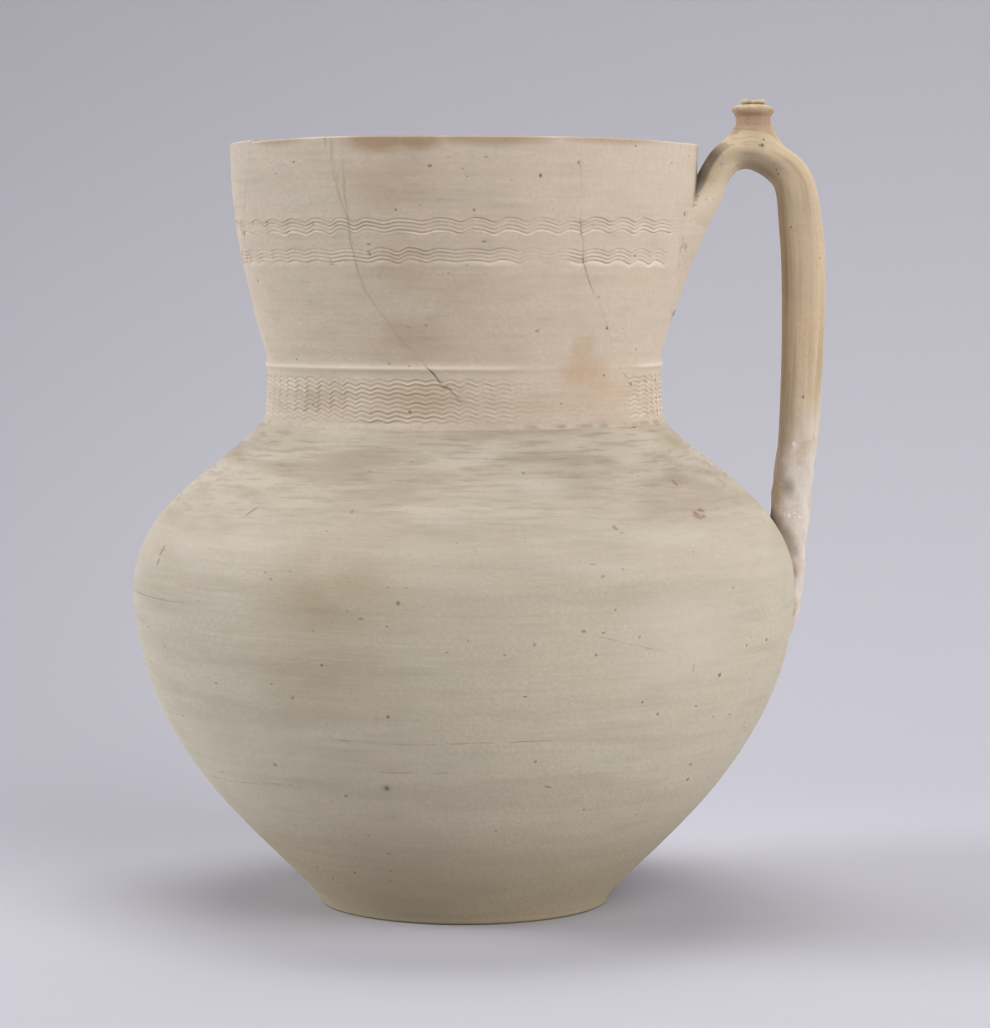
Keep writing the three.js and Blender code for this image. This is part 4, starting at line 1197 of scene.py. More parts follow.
# Rows of points on each side of the break over which its ragged line dies away.
BREAK_ROWS = 13


def strap_path(sizes):
    """The strap's middle line: distance out, height and thickness, evenly spaced."""
    root = (neck_radius(sizes, ROOT_HEIGHT, 0) - ROOT_SINK, ROOT_HEIGHT, ROOT_THICKNESS)
    rows = np.array([root, *(np.array(row) * MM for row in LEG_STATIONS)])
    line = np.vstack([2 * rows[0] - rows[1], rows, 2 * rows[-1] - rows[-2]])
    share = np.linspace(0, 1, 60)[:, None]
    stretch = []
    for a, b, c, d in zip(line, line[1:], line[2:], line[3:]):
        before, here, after = (
            max(np.linalg.norm((q - p)[:2]) ** 0.5, 1e-6) for p, q in ((a, b), (b, c), (c, d)))
        leave = ((b - a) / before - (c - a) / (before + here) + (c - b) / here) * here
        reach = ((c - b) / here - (d - b) / (here + after) + (d - c) / after) * here
        stretch.append(b + leave * share + (3 * c - 3 * b - 2 * leave - reach) * share**2
                       + (2 * b - 2 * c + leave + reach) * share**3)
    return evenly(np.concatenate(stretch), STRAP_ROW)


def strap_section():
    """Points round the strap's section, with soft arrises, as shares of its half thickness and half width."""
    half = list(STRAP_CORNERS)
    ring = np.array([(1.02, 0.0), *half, (-1.03, 0.0), *((n, -b) for n, b in reversed(half))])
    for cut in (0.22, 0.25, 0.25):
        after = np.roll(ring, -1, axis=0)
        ring = np.stack([ring * (1 - cut) + after * cut, ring * cut + after * (1 - cut)], 1).reshape(-1, 2)
    ring = evenly(np.vstack([ring, ring[:1]]), reach_along(ring)[-1] / STRAP_POINTS)[:-1]
    return ring / np.abs(ring).max(0)


def oval_section(section):
    """The same section rounded to an oval."""
    return section / np.linalg.norm(section, axis=1, keepdims=True)


def root_spread(path):
    """How far the strap has spread at each station, from 0 on the arch to 1 on the neck."""
    climbing = np.arange(len(path)) <= np.argmax(path[:, 1])
    return np.where(climbing, 1 - ease(path[:, 1], *ROOT_SPREADS), 0)


def spread_width(sizes, spread):
    """The strap's width where it has spread so far."""
    return sizes.strap_width + (ROOT_WIDTH - sizes.strap_width) * spread


def swept_back(sizes, across, spread):
    """How far the spread root lies back round the neck at each distance across it."""
    across = np.clip(np.abs(across), 0, 0.9 * sizes.neck_radius)
    curved = sizes.rim_radius - np.sqrt(sizes.rim_radius**2 - across**2)
    return spread * (curved + ROOT_SWEEP * (across / ROOT_SWEEP_AT) ** 2)


def headings(path):
    """The path's direction at each station."""
    ahead = np.gradient(path[:, :2], axis=0)
    return ahead / np.linalg.norm(ahead, axis=1, keepdims=True)


def strap_rings(path, section, width):
    """Rings of points along a path, and each point's place through the strap, across it and along it."""
    section = np.broadcast_to(section, (len(path), *section.shape[-2:]))
    ahead = headings(path)[:, None]
    through = section[..., 0] * path[:, None, 2] / 2
    across = section[..., 1] * np.broadcast_to(width, len(path))[:, None] / 2
    points = np.stack([
        path[:, None, 0] + ahead[..., 1] * through, across, path[:, None, 1] - ahead[..., 0] * through], -1)
    lie = np.stack(np.broadcast_arrays(through, across, reach_along(path[:, :2])[:, None]), -1)
    return points, lie


def ring_normals(points):
    """Normals of rings of points, square to their two directions."""
    along = np.gradient(points, axis=0)
    about = np.roll(points, -1, axis=1) - np.roll(points, 1, axis=1)
    normals = np.cross(about, along)
    return normals / np.maximum(np.linalg.norm(normals, axis=2, keepdims=True), 1e-12)


def kept_out(points, radius):
    """The same points, with those deep inside a turned wall brought out to the given radius."""
    reach = np.hypot(points[..., 0], points[..., 1])
    grow = np.maximum(radius / np.maximum(reach, 1e-9), 1.0)
    return points * np.stack([grow, grow, np.ones_like(grow)], -1)


def strap_halves(sizes):
    """The strap's path above its break and below it, with one station in both."""
    path = strap_path(sizes)
    broken = np.argmax((path[:, 1] < BREAK_HEIGHT) & (np.arange(len(path)) > np.argmax(path[:, 1])))
    return path[:broken + 1], path[broken:]


def break_line(section):
    """How far the slanting, ragged break lies below its middle, at each point of the section."""
    places = np.stack([section[:, 0], section[:, 1], 0 * section[:, 0]], -1)
    return (1.0 * section[:, 0] - 0.8 * section[:, 1] + 0.7 * lumps(places, 0.45, 58)) * MM


def arch_shade(out, through):
    """Painted shade under the arch, by distance out and place through the strap."""
    return 0.50 * within(out, *ARCH_SPAN) * ease(through, -0.3, 0.3)


def make_strap(sizes, material):
    """The strap from the neck to its break, spread wide where it joins the neck."""
    path = strap_halves(sizes)[0]
    section = strap_section()
    spread = root_spread(path)
    section_at = section + 0.5 * (oval_section(section) - section) * spread[:, None, None]
    points, lie = strap_rings(path, section_at, spread_width(sizes, spread))
    points[..., 0] -= swept_back(sizes, points[..., 1], spread[:, None])
    near_break = ease(np.arange(len(path)), len(path) - 1 - BREAK_ROWS, len(path) - 1)[:, None]
    pulled = drawn_marks(lie, PULLING_MARKS, 23) * (1 - near_break)
    points = points + ring_normals(points) * pulled[..., None]
    points[..., 2] -= near_break * break_line(section)
    neck = neck_radius(sizes, points[..., 2], 0)
    on_neck = (points[..., 2] < sizes.rim_height - ROOT_BELOW_RIM) & (points[..., 0] < ROOT_OUT)
    points = np.where(on_neck[..., None], kept_out(points, neck - IN_WALL), points)
    off_neck = np.hypot(points[..., 0], points[..., 1]) - neck
    # Soil and painted shade on the strap's side that faces the neck, in the crotch.
    in_crotch = (1 - ease(off_neck, *CROTCH_OFF_NECK)) * ease(points[..., 2], *CROTCH_STRAP_FOOT)
    in_crotch = in_crotch * (path[:, None, 0] < CROTCH_OUT)
    in_crotch = in_crotch * (0.72 * ease(-section[:, 0], 0.42, 0.62) + 0.16 * ease(-section[:, 0], -0.6, 0.4))
    # The crotch's soil and painted shade, and painted shade under the arch.
    soil = (in_crotch + arch_shade(path[:, None, 0], section[:, 0])) * (0.8 + 0.2 * lumps(points, 4 * MM, 59))
    net = Net()
    net.tube(points, soil, lie)
    net.piece("handle_strap_pulled", material, "handle_clay", "handle_strap")


TONGUE_TIP = 74.4 * MM
TONGUE_PROUD = 5.4 * MM
TONGUE_THICKNESS = 6.0 * MM
TONGUE_WIDTH = 20.0 * MM
TONGUE_LEAVES_STRAP = 0.08
TONGUE_LIES_FLAT = 0.55
# The tongue's tip: how much prouder it lies above it, and how deep its end sinks in.
TONGUE_LIFT, TONGUE_SINK = 0.6 * MM, 0.9 * MM
# Lumps left by modelling: height and size in millimetres, and a seed.
PLASTER_LUMPS = ((0.45, 7, 51), (0.22, 3, 52), (0.07, 1.2, 53))
# Soil along the tongue's edge, and soil with painted shade in the wedge between the foot and the body above
# it: distances off the body, and the wedge's heights.
TONGUE_EDGE = (0.2 * MM, 2.2 * MM)
WEDGE_OFF_BODY, WEDGE_HEIGHTS = (1.5 * MM, 5.0 * MM), (102 * MM, 107 * MM)


def make_restored_foot(sizes, material):
    """The restored end: a length of strap below the break, and a tongue that lies down on the belly."""
    path = strap_halves(sizes)[1]
    section = strap_section()
    strap = strap_rings(path, section, sizes.strap_width)[0]
    strap[..., 2] -= (1 - ease(np.arange(len(path)), 0, BREAK_ROWS))[:, None] * break_line(section)
    toe_out, toe_height, toe_thickness = path[-1]
    share = np.linspace(0, 1, 90)[1:]
    height = toe_height + (TONGUE_TIP - toe_height) * share
    settled = ease(share, TONGUE_LEAVES_STRAP, TONGUE_LIES_FLAT)
    lying = body_radius(sizes, height) + TONGUE_PROUD * (1 - share)
    lying = lying + TONGUE_LIFT * (1 - ease(share, 0.8, 1.0)) - TONGUE_SINK * ease(share, 0.85, 1.0)
    leaving = toe_out + toe_thickness / 2
    outer = leaving + (lying - leaving) * settled
    thickness = toe_thickness + (TONGUE_THICKNESS - toe_thickness) * settled
    width = (sizes.strap_width + (TONGUE_WIDTH - sizes.strap_width) * settled) * np.sqrt(1 - 0.9 * share**3)
    mixed = section + (oval_section(section) - section) * settled[:, None, None]
    tongue = np.stack([
        (outer - thickness / 2)[:, None] - mixed[..., 0] * thickness[:, None] / 2,
        mixed[..., 1] * width[:, None] / 2, np.broadcast_to(height[:, None], mixed.shape[:2])], -1)
    points = np.concatenate([strap, tongue])
    fade = np.concatenate([ease(np.arange(len(strap)), 0, BREAK_ROWS - 1), np.ones(len(tongue))])
    points = points + ring_normals(points) * (lumpy(points, *PLASTER_LUMPS) * fade[:, None])[..., None]
    body = body_radius(sizes, points[..., 2])
    off_body = np.hypot(points[..., 0], points[..., 1]) - body
    edge = 1 - ease(off_body, *TONGUE_EDGE)
    edge = 0.45 * edge * ease(-lumps(points, (2.2 * MM, 2.2 * MM, 5 * MM), 54), -0.2, 0.5)
    # Soil and painted shade in the wedge between the foot's inner side and the body.
    wedge = (1 - ease(off_body, *WEDGE_OFF_BODY)) * ease(points[..., 2], *WEDGE_HEIGHTS)
    soil = np.maximum(edge, 0.5 * wedge * (0.75 + 0.25 * lumps(points, 3 * MM, 64)))
    net = Net()
    net.tube(kept_out(points, body - IN_WALL), soil)
    net.piece("handle_foot_restored", material, "pale_plaster", "handle_restored_foot")


# Pits in the handle: distance out, forward and up and radius, in millimetres, and strength.
HANDLE_PITS = (
    (88.8, 7.0, 228.3, 0.4, 0.7), (87.4, 7.8, 226.6, 0.35, 0.7), (78.6, 6.0, 229.2, 0.9, 1.0),
    (97.0, 8.0, 202.4, 0.4, 0.7), (100.9, 8.0, 152.0, 0.5, 0.9), (73.8, 11.0, 210.4, 0.5, 0.7),
    (72.6, 10.0, 205.4, 0.5, 0.6), (92.5, 7.6, 219.3, 0.5, 0.7), (93.1, 7.8, 218.1, 0.5, 0.6))
# Zones of the handle's clay: axis, the two ends in millimetres between which it comes in, and strength.
HANDLE_ZONES = (
    ("Z", 226, 206, 1.0), ("X", 92, 82, 0.9), ("Z", 162, 137, 0.62), ("Z", 229, 234, 0.6),
    ("Z", 238.6, 236.8, 1.0))


def tan_earthenware_pulled(colours):
    """Tan earthenware, pulled by wet hands: matt, with soft lengthwise streaks and small drag pits."""
    material, tree, places = new_surface("tan_earthenware_pulled")
    if tree is None:
        return material
    lie = put(tree, "ShaderNodeAttribute", attribute_name="lie", out="Vector")
    pits = [mark(tree, places, (out * MM, -forward * MM, up * MM), (radius * MM, 1.3 * radius * MM, 2.5 * MM),
                 most=0.8 * strength) for out, forward, up, radius, strength in HANDLE_PITS]
    colour, height, roughness = fired_clay(
        tree, places, lie, colours.handle, colours, (1.5, 1.5, 22), 0.20, 0.50, pits)
    axes = put(tree, "ShaderNodeSeparateXYZ", {"Vector": places}).node.outputs
    low_root, near_root, near_break, above_wad, below_top = [
        put(tree, "ShaderNodeMapRange", {"Value": axes[axis], 1: low * MM, 2: high * MM, 4: most},
            interpolation_type="SMOOTHSTEP") for axis, low, high, most in HANDLE_ZONES]
    at_root = overlap(tree, [low_root, near_root])
    dusted = overlap(tree, [near_break, cloud(tree, places, (6, 6, 12), 0.30, 0.62, detail=5.0, seed=2.9)])
    streaks = cloud(tree, lie, (2.4, 2.4, 45), 0.48, 0.70, 0.42, detail=4.0, seed=4.4)
    rosy = overlap(tree, [above_wad, below_top])
    colour = layered(tree, colour, (
        ("#A88F68", streaks), (colours.neck, at_root), ("#AB7F60", rosy), (colours.plaster, dusted)))
    finish_matt(tree, colour, height, 0.2 * MM, roughness)
    return material


# The grey smudge: its place, and half sizes across, up and through.
SMUDGE_PLACE, SMUDGE_SIZES = (96.8 * MM, -8.0 * MM, 125.2 * MM), (3.2 * MM, 4.4 * MM, 6 * MM)
# White chips in the plaster: distance out, height, half width and half height, in millimetres.
PLASTER_CHIPS = (
    (98.3, 138.6, 0.6, 2.1), (97.0, 116.6, 0.6, 0.5), (100.2, 116.2, 0.5, 0.5), (98.6, 117.3, 0.35, 0.35))
# Heights in millimetres between which the tone by the break and the thin end's tone come in, and strength.
PLASTER_ZONES = ((128, 141, 0.42), (96, 78, 0.6))


def pale_plaster_sanded(colours):
    """Gypsum plaster, modelled and sanded: pale, chalky, a little pink, with a smudge and white chips."""
    material, tree, places = new_surface("pale_plaster_sanded")
    if tree is None:
        return material
    sanded = cloud(tree, places, (0.8, 0.8, 0.8), 0.3, 0.7, seed=3.3)
    pits = specks(tree, places, 3.0, 0.5, 0.4, 0.5, seed=0.83)
    soil = put(tree, "ShaderNodeAttribute", attribute_name="soil", out="Fac")
    grey = overlap(tree, [
        mark(tree, places, SMUDGE_PLACE, SMUDGE_SIZES, soft=1.0, most=0.75),
        cloud(tree, places, (3, 3, 4), 0.25, 0.55, seed=1.9)])
    chips = [mark(tree, places, (out * MM, -8.2 * MM, up * MM), (wide * MM, high * MM, 3 * MM))
             for out, up, wide, high in PLASTER_CHIPS]
    up = put(tree, "ShaderNodeSeparateXYZ", {"Vector": places}, out="Z")
    toned, thinned = [
        put(tree, "ShaderNodeMapRange", {"Value": up, 1: low * MM, 2: high * MM, 4: most},
            interpolation_type="SMOOTHSTEP") for low, high, most in PLASTER_ZONES]
    colour = layered(tree, rgba(colours.plaster), (
        ("#CFB496", toned), ("#D2C5AC", thinned),
        ("#D6BFA8", cloud(tree, places, (9, 9, 14), 0.42, 0.70, 0.8, seed=2.6)),
        ("#F0E9DE", cloud(tree, places, (5, 5, 6), 0.5, 0.75, 0.8, seed=6.9)),
        ("#8E8678", grey),
        ("#CDBCA8", overlap(tree, [sanded, cloud(tree, places, (6, 6, 6), 0.3, 0.7, 0.5, seed=7.1)])),
        ("#F7F2EA", strongest(tree, [*chips, specks(tree, places, 4.0, 0.9, 0.4, 0.6, seed=0.23)])),
        (colours.soil, strongest(tree, [pits, soil]))))
    height = put(tree, "ShaderNodeMath", {0: sanded, 1: 0.3, 2: 0.0}, operation="MULTIPLY_ADD")
    height = put(tree, "ShaderNodeMath", {0: height, 1: pits}, operation="SUBTRACT")
    roughness = put(tree, "ShaderNodeMapRange", {"Value": sanded, 3: 0.66, 4: 0.84})
    finish_matt(tree, colour, height, 0.15 * MM, roughness)
    return material


class EWER_OT_handle(bpy.types.Operator):
    """Make the handle's pulled strap and its restored foot"""

    bl_idname = "ewer.handle"
    bl_label = "Handle"
    bl_options = {"REGISTER", "UNDO"}

    def execute(self, context):
        sizes, colours = context.scene.ewer_sizes, context.scene.ewer_colours
        make_strap(sizes, tan_earthenware_pulled(colours))
        make_restored_foot(sizes, pale_plaster_sanded(colours))
        return {"FINISHED"}


# Luting


ROOT_WAD_HEIGHT = 197.0 * MM
ROOT_WAD_HALF_HEIGHT = 21.0 * MM
ROOT_WAD_HALF_WIDTH = 29.0 * MM
ROOT_FILLET_LOW = 9.0 * MM
ROOT_FILLET_HIGH = 3.0 * MM
# Heights at the root between which the fillet narrows, and the clay ends in the crotch.
ROOT_FILLET_HEIGHTS = (198 * MM, 209 * MM)
ROOT_WAD_TOP = (209 * MM, 212 * MM)
# Where the wad's thin fringe is pitted: heights where that starts, and the clay's thickness where it ends.
FRINGE_FOOT, FRINGE_THICKNESS = (188 * MM, 191 * MM), (0.5 * MM, 1.6 * MM)
PIT_DEPTH = 0.15 * MM
# How thick the wad may lie, and how little above the crotch; how far its underside lies in the wall.
ROOT_WAD_THICK, ROOT_WAD_THIN, ROOT_WAD_IN = 12.0 * MM, 0.2 * MM, 1.6 * MM
ROOT_WAD_POINTS, ROOT_WAD_ROWS = 192, 64
REST_WAD_DEPTH = 11.0 * MM
REST_WAD_LAP = 0.8 * MM
REST_POINTS = 144
REST_WAD_ROWS = 60
# How deep the rest's stem reaches, and heights off the wad's top where fingers pressed the clay.
STEM_DEPTH = 3 * MM
PRESSED_HEIGHTS = (-7 * MM, -4 * MM, -0.3 * MM, 0.5 * MM)
REST_FILLET = 7.5 * MM
REST_STEM = 5.3 * MM
WAD_REACH = 12.5 * MM
WRINKLE_DEPTH = 0.22 * MM
SUNK_EDGE = 0.22 * MM
# The neck's luting: how far it laps its neighbours, and points up its outside, up its inside and round.
LUTING_LAP = 0.3 * MM
LUTING_ROWS, LUTING_INNER_ROWS, LUTING_COLUMNS = 9, 4, 720


def strap_place(sizes, places):
    """Each place's distance through the strap, across it and along it, and the strap's half sizes there."""
    path = strap_halves(sizes)[0][::2]
    spread = root_spread(path)
    ahead, passed = headings(path), reach_along(path[:, :2])
    flat = places.reshape(-1, 3)
    swept = np.zeros(len(flat))
    for _ in range(2):
        off = flat[:, None, ::2] - path[None, :, :2]
        off[..., 0] += swept[:, None]
        nearest = np.argmin((off ** 2).sum(2), axis=1)
        swept = swept_back(sizes, flat[:, 1], spread[nearest])
    off, way = off[np.arange(len(flat)), nearest], ahead[nearest]
    through = off[:, 0] * way[:, 1] - off[:, 1] * way[:, 0]
    along = passed[nearest] + (off * way).sum(1)
    lie = np.stack([through, flat[:, 1], along], -1)
    halves = np.stack([path[nearest, 2], spread_width(sizes, spread[nearest])], -1) / 2
    return lie.reshape(places.shape), halves.reshape(*places.shape[:-1], 2)


def strap_distance(sizes, places):
    """About how far each place lies outside the strap, taking its section as an oval."""
    lie, halves = strap_place(sizes, places)
    share = np.linalg.norm(lie[..., :2] / halves, axis=-1)
    return share * (share - 1) / np.maximum(np.linalg.norm(lie[..., :2] / halves**2, axis=-1), 1e-9)


def joined(first, second, fillet):
    """Two distances joined with a soft fillet between them."""
    near = np.maximum(fillet - np.abs(first - second), 0) / fillet
    return np.minimum(first, second) - near * near * fillet / 4


def reach_of(distance_at, least, most):
    """How far along each line the surface lies, between two limits."""
    for _ in range(13):
        middle = (least + most) / 2
        inside = distance_at(middle) < -SUNK_EDGE
        least, most = np.where(inside, middle, least), np.where(inside, most, middle)
    return least


def luting_clay_pressed(colours):
    """Soft clay and slip, pressed in with fingers: matt, a little lumpy, close in colour to what it joins."""
    material, tree, places = new_surface("luting_clay_pressed")
    if tree is None:
        return material
    colour, height, roughness = fired_clay(
        tree, places, places, colours.luting, colours, (30, 30, 1.5), 0.12, 0.50)
    finish_matt(tree, colour, height, 0.2 * MM, roughness)
    return material


def make_neck_luting(sizes, material):
    """The ring of clay that beds the neck on the shoulder, squeezed out raggedly between them."""
    low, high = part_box("neck_luting")
    foot, top = low.z - LUTING_LAP, high.z + LUTING_LAP
    outer = np.linspace(
        (sizes.shoulder_radius + 0.05 * MM, foot), (sizes.neck_radius + 0.1 * MM, top), LUTING_ROWS)
    inner_radius, middle = sizes.neck_radius - sizes.neck_wall, sizes.neck_radius - 2 * MM
    inner = np.linspace((inner_radius, top), (inner_radius, foot), LUTING_INNER_ROWS)
    section = np.concatenate([outer, [[middle, top]], inner, [[middle, foot]]])
    radius, height = section[:, None, 0], section[:, None, 1]
    angle = full_turn(LUTING_COLUMNS)
    flat = around(radius, angle[None], height)
    seen = np.zeros((len(section), 1))
    seen[:LUTING_ROWS, 0] = np.sin(np.linspace(0, np.pi, LUTING_ROWS)) ** 0.7
    swell = within(angle, *LUTING_SWELL)
    ragged = lumpy(flat, (0.22, 4, 61), (0.08, 1.6, 62)) + (0.10 + 0.12 * swell) * MM
    # Soil in the join, darker at the right, where it also stands for painted shadow under the neck's swollen
    # lip.
    soil = seen * np.clip(-0.15 - 0.4 * lumps(flat, 2.5 * MM, 63) + 0.3 * swell, 0, 0.3)
    net = Net()
    net.lay(around(radius + seen * ragged, angle[None], height), soil, round_columns=True, round_rows=True)
    net.piece("neck_luting_pressed", material, "luting_clay", "neck_luting")


def make_root_wad(sizes, material):
    """Clay smeared over the neck and up the strap's end, so that one runs into the other."""
    ring = full_turn(ROOT_WAD_POINTS)
    out = np.linspace(0.03, 1.0, ROOT_WAD_ROWS)
    ragged = 1 + 0.05 * np.sin(5 * ring + 1) + 0.04 * np.sin(11 * ring)
    across = out[:, None] * np.sin(ring) * ragged * ROOT_WAD_HALF_WIDTH
    height = ROOT_WAD_HEIGHT + out[:, None] * np.cos(ring) * ragged * ROOT_WAD_HALF_HEIGHT
    surface = neck_radius(sizes, height, 0)
    angle = HANDLE_ANGLE + across / surface
    fillet = ROOT_FILLET_LOW + (ROOT_FILLET_HIGH - ROOT_FILLET_LOW) * ease(height, *ROOT_FILLET_HEIGHTS)

    def distance_at(reach):
        return joined(reach, strap_distance(sizes, around(surface + reach, angle, height)), fillet)

    thickest = ROOT_WAD_THICK - (ROOT_WAD_THICK - ROOT_WAD_THIN) * ease(height, *ROOT_WAD_TOP)
    thick = reach_of(distance_at, np.full_like(height, -1 * MM), thickest)
    flat = around(surface, angle, height)
    covered = ease(thick, 0.05 * MM, 0.5 * MM)
    thick = thick + covered * lumpy(flat, (0.16, 5, 35), (0.08, 2.2, 36))
    fringe = covered * (1 - ease(thick, *FRINGE_THICKNESS)) * ease(height, *FRINGE_FOOT)
    pits = fringe * ease(-lumps(flat, (1.0 * MM, 1.0 * MM, 1.3 * MM), 38), 0.35, 0.75)
    upper = around(surface + thick - PIT_DEPTH * pits, angle, height)
    lower = around(surface - ROOT_WAD_IN, angle, height)[::-5]
    # The crotch's soil and painted shade on the wad, and soil in its pits.
    soil = np.concatenate([np.maximum(0.45 * pits, crotch_soil_and_shade(across, height, flat)), 0 * lower[..., 0]])
    net = Net()
    net.tube(np.concatenate([upper, lower]), soil, flip=True)
    net.piece("handle_root_luting", material, "handle_clay", "handle_root_wad", sharp=60)


def make_rest_wad(sizes, material):
    """Clay pressed round the thumb rest's stem and down over the arch, so that one runs into the other."""
    low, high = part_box("thumb_rest_wad")
    middle = (low.x + high.x) / 2
    height = np.linspace(high.z - REST_WAD_DEPTH, high.z + REST_WAD_LAP, REST_WAD_ROWS)[:, None]
    ring = full_turn(REST_POINTS)
    stem_foot = high.z - STEM_DEPTH

    def spot(reach):
        return np.stack(np.broadcast_arrays(middle + reach * np.sin(ring), -reach * np.cos(ring), height), -1)

    def distance_at(reach):
        stem = np.hypot(np.maximum(reach - REST_STEM, 0), np.maximum(stem_foot - height, 0))
        stem = np.where((reach < REST_STEM) & (height > stem_foot), reach - REST_STEM, stem)
        return joined(stem, strap_distance(sizes, spot(reach)), REST_FILLET)

    shape = (len(height), len(ring))
    reach = reach_of(distance_at, np.full(shape, 1 * MM), np.full(shape, WAD_REACH))
    flat = spot(reach)
    pressed = within(height, *(high.z + above for above in PRESSED_HEIGHTS))
    wrinkle = 1 - np.abs(lumps(flat, (5.0 * MM, 5.0 * MM, 1.0 * MM), 47)) / 0.22
    wrinkle = np.clip(wrinkle, 0, 1) * ease(-np.sin(ring), -0.5, 0.3)
    reach = reach + pressed * (lumpy(flat, (0.16, 3.2, 45), (0.06, 1.3, 46)) - WRINKLE_DEPTH * wrinkle)
    points = spot(reach)
    lie, halves = strap_place(sizes, points)
    # Soil in the pressed wrinkles, and painted shade under the arch.
    soil = 0.16 * pressed * wrinkle + arch_shade(points[..., 0], lie[..., 0] / halves[..., 0])
    net = Net()
    net.tube(points, soil, lie, flip=True)
    net.piece("thumb_rest_luting", material, "handle_clay", "thumb_rest_wad", sharp=60)


class EWER_OT_luting(bpy.types.Operator):
    """Make the luting clay at the neck's foot, the handle's root and the thumb rest"""

    bl_idname = "ewer.luting"
    bl_label = "Luting"
    bl_options = {"REGISTER", "UNDO"}

    def execute(self, context):
        sizes, colours = context.scene.ewer_sizes, context.scene.ewer_colours
        material = luting_clay_pressed(colours)
        make_neck_luting(sizes, material)
        make_root_wad(sizes, material)
        make_rest_wad(sizes, tan_earthenware_pulled(colours))
        return {"FINISHED"}


# Thumb rest


# The turned outline, in millimetres: radius and height above its seat.
REST_OUTLINE = (
    (5.45, 0.0), (5.2, 1.2), (5.05, 2.4), (5.15, 3.5), (5.6, 4.3), (6.15, 4.9), (6.3, 5.5), (6.2, 6.1),
    (5.7, 6.6), (4.9, 6.85), (4.0, 6.95), (3.45, 7.05), (3.3, 7.25), (3.3, 7.45), (3.55, 7.58), (3.85, 7.7),
    (3.92, 8.0), (3.8, 8.35), (3.4, 8.58), (2.4, 8.68), (1.2, 8.7))
REST_ROW = 0.16 * MM
# How much the rest leans back over the mouth and is pressed down, to its height, and how deep it is bedded.
REST_LEAN, REST_PRESSED, REST_BEDDED = 0.03, 0.999, 0.25 * MM
# Painted shadow under its knob and under its flange: height and half width in millimetres, and strength.
REST_SHADOW_LINES = ((7.3, 0.25, 0.5), (4.0, 0.6, 0.25))
# Chips out of the flange: their depth, and heights from which they are cut.
FLANGE_CHIP, FLANGE_HEIGHTS = 0.50 * MM, (4 * MM, 5 * MM)


def make_thumb_rest(material):
    """The turned rest: a stem, a flange and a small knob, worn and chipped, with painted shadow under its
    knob and its flange.
    """
    low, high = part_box("thumb_rest")
    middle = (low.x + high.x) / 2
    section = evenly(np.array(REST_OUTLINE) * MM, REST_ROW)
    radius, rise = section[:, None, 0], section[:, None, 1]
    ring = full_turn(REST_POINTS)
    flat = around(radius, ring, rise)
    worn = lumpy(flat, (0.22, 2.6, 55), (0.08, 0.9, 56))
    worn -= FLANGE_CHIP * np.clip(lumps(flat, 2.2 * MM, 57) - 0.2, 0, 1) * ease(rise, *FLANGE_HEIGHTS)
    normals = outward(section, False)[:, None]
    height = (rise + normals[..., 1] * worn) * REST_PRESSED
    points = around(radius + normals[..., 0] * worn, ring, low.z - REST_BEDDED + height)
    points[..., 0] += middle - REST_LEAN * rise
    # Painted shadow under the knob and under the flange.
    soil = sum(strength * bell(rise - at * MM, half * MM) for at, half, strength in REST_SHADOW_LINES)
    net = Net()
    net.tube(points, soil, flip=True)
    net.piece("thumb_rest_turned", material, "handle_clay", "thumb_rest", sharp=60)


class EWER_OT_thumb_rest(bpy.types.Operator):
    """Make the turned thumb rest on the handle's arch"""

    bl_idname = "ewer.thumb_rest"
    bl_label = "Thumb rest"
    bl_options = {"REGISTER", "UNDO"}

    def execute(self, context):
        make_thumb_rest(tan_earthenware_pulled(context.scene.ewer_colours))
        return {"FINISHED"}


# Stage


CAMERA_BACK = 0.990
CAMERA_HEIGHT = 0.187
CAMERA_DOWN = math.radians(4.07)
CAMERA_ACROSS = math.radians(0.535)
FOCAL_PIXELS = 3300.0
PICTURE_WIDTH = 990
SENSOR_WIDTH = 36.0
SWEEP_BEHIND = 0.22
SWEEP_RADIUS = 0.40
SWEEP_HALF_WIDTH = 3.0
SWEEP_FRONT = -2.5
SWEEP_TOP = 2.4
LAMP_AIM = (0.0, 0.0, 0.12)


def make_sweep(stage):
    """A sheet of paper that runs level under the ewer and curves up behind it."""
    turn = np.linspace(0, np.pi / 2, 24)
    bend = np.stack([SWEEP_BEHIND + SWEEP_RADIUS * np.sin(turn), SWEEP_RADIUS * (1 - np.cos(turn))], 1)
    line = np.concatenate([[[SWEEP_FRONT, 0.0]], bend, [[SWEEP_BEHIND + SWEEP_RADIUS, SWEEP_TOP]]])
    across = np.array([-SWEEP_HALF_WIDTH, SWEEP_HALF_WIDTH])
    points = np.stack(np.broadcast_arrays(across[None], line[:, None, 0], line[:, None, 1]), -1)
    faces = [(2 * row, 2 * row + 1, 2 * row + 3, 2 * row + 2) for row in range(len(line) - 1)]
    mesh = bpy.data.meshes.new("studio_sweep")
    mesh.from_pydata(points.reshape(-1, 3).tolist(), [], faces)
    mesh.shade_smooth()
    material = bpy.data.materials.new("paper_sweep_matt")
    material.use_nodes = True
    tree = material.node_tree
    tree.nodes.clear()
    shader = put(tree, "ShaderNodeBsdfPrincipled", {
        "Base Color": rgba(stage.paper), "Roughness": 0.95, "Specular IOR Level": 0.1})
    # The sheet is seen from its upper side alone, so that it doesn't hide the ewer's back.
    behind = put(tree, "ShaderNodeNewGeometry", out="Backfacing")
    clear = put(tree, "ShaderNodeBsdfTransparent")
    one_sided = put(tree, "ShaderNodeMixShader", {0: behind, 1: shader, 2: clear})
    put(tree, "ShaderNodeOutputMaterial", {"Surface": one_sided})
    mesh.materials.append(material)
    sweep = bpy.data.objects.new("studio_sweep", mesh)
    bpy.context.scene.collection.objects.link(sweep)


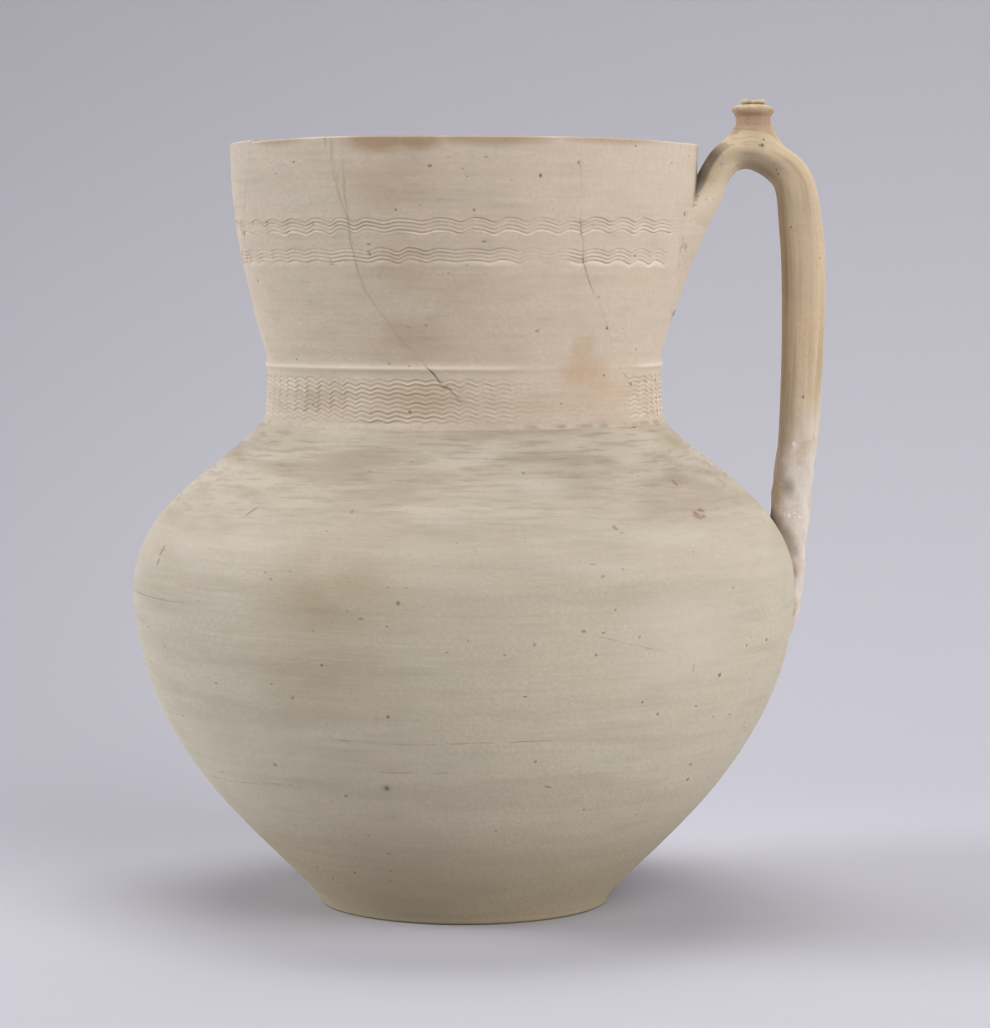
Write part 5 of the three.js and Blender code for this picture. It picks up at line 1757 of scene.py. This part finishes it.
def add_softbox(name, place, width, height, spread, power, tone=(1.0, 1.0, 1.0)):
    """A soft square lamp that faces the ewer, with a grid that holds its light to a spread of degrees."""
    lamp = bpy.data.lights.new(name, "AREA")
    lamp.shape = "RECTANGLE"
    lamp.size, lamp.size_y = width, height
    lamp.spread = math.radians(spread)
    lamp.energy, lamp.color = power, tone
    box = bpy.data.objects.new(name, lamp)
    box.location = place
    box.rotation_euler = (Vector(LAMP_AIM) - Vector(place)).to_track_quat("-Z", "Y").to_euler()
    bpy.context.scene.collection.objects.link(box)


def add_camera(scene):
    """The camera, with the photograph's viewpoint and field of view."""
    camera = bpy.data.cameras.new("camera")
    camera.sensor_fit = "HORIZONTAL"
    camera.sensor_width = SENSOR_WIDTH
    camera.lens = FOCAL_PIXELS / PICTURE_WIDTH * SENSOR_WIDTH
    camera.clip_start = 0.05
    seat = bpy.data.objects.new("camera", camera)
    seat.location = (0.0, -CAMERA_BACK, CAMERA_HEIGHT)
    seat.rotation_euler = (math.pi / 2 - CAMERA_DOWN, 0.0, -CAMERA_ACROSS)
    scene.collection.objects.link(seat)
    scene.camera = seat


class EWER_OT_stage(bpy.types.Operator):
    """Make the paper sweep, the lamps and the camera"""

    bl_idname = "ewer.stage"
    bl_label = "Stage"
    bl_options = {"REGISTER", "UNDO"}

    def execute(self, context):
        scene = context.scene
        stage = scene.ewer_stage
        make_sweep(stage)
        add_softbox("left_softbox", (-1.25, 0.0, 0.5), 0.6, 0.9, 60, stage.left_lamp, (0.93, 0.965, 1.0))
        add_softbox("right_softbox", (0.88, -1.0, 0.90), 1.3, 1.3, 140, stage.right_lamp)
        add_softbox("top_softbox", (0.0, 0.34, 1.5), 1.2, 0.9, 100, stage.top_lamp)
        world = bpy.data.worlds.new("room")
        world.use_nodes = True
        world.node_tree.nodes.clear()
        light = put(world.node_tree, "ShaderNodeBackground", {
            "Color": (1.0, 0.99, 0.98, 1.0), "Strength": stage.room})
        put(world.node_tree, "ShaderNodeOutputWorld", {"Surface": light})
        scene.world = world
        scene.view_settings.view_transform = "Standard"
        add_camera(scene)
        return {"FINISHED"}


# Add-on


class EWER_PT_panel(bpy.types.Panel):
    """Settings and steps of the ewer"""

    bl_label = "Mended ewer"
    bl_space_type = "VIEW_3D"
    bl_region_type = "UI"
    bl_category = "Ewer"

    def draw(self, context):
        layout = self.layout
        for group in GROUPS:
            box = layout.box()
            settings = getattr(context.scene, group)
            for name in settings.__annotations__:
                box.prop(settings, name)
        for operator in PIECES:
            layout.operator(operator.bl_idname)


GROUPS = {
    "ewer_sizes": EwerSizes, "ewer_combing": EwerCombing, "ewer_colours": EwerColours,
    "ewer_stage": EwerStage}
PIECES = (EWER_OT_body, EWER_OT_neck, EWER_OT_handle, EWER_OT_luting, EWER_OT_thumb_rest, EWER_OT_stage)


def register():
    for group in (*GROUPS.values(), *PIECES, EWER_PT_panel):
        bpy.utils.register_class(group)
    for name, group in GROUPS.items():
        setattr(bpy.types.Scene, name, bpy.props.PointerProperty(type=group))


def unregister():
    for name in GROUPS:
        delattr(bpy.types.Scene, name)
    for group in (EWER_PT_panel, *reversed(PIECES), *reversed(GROUPS.values())):
        bpy.utils.unregister_class(group)


def main():
    register()
    bpy.ops.ewer.body()
    bpy.ops.ewer.neck()
    bpy.ops.ewer.handle()
    bpy.ops.ewer.luting()
    bpy.ops.ewer.thumb_rest()
    bpy.ops.ewer.stage()


if __name__ == "__main__":
    main()
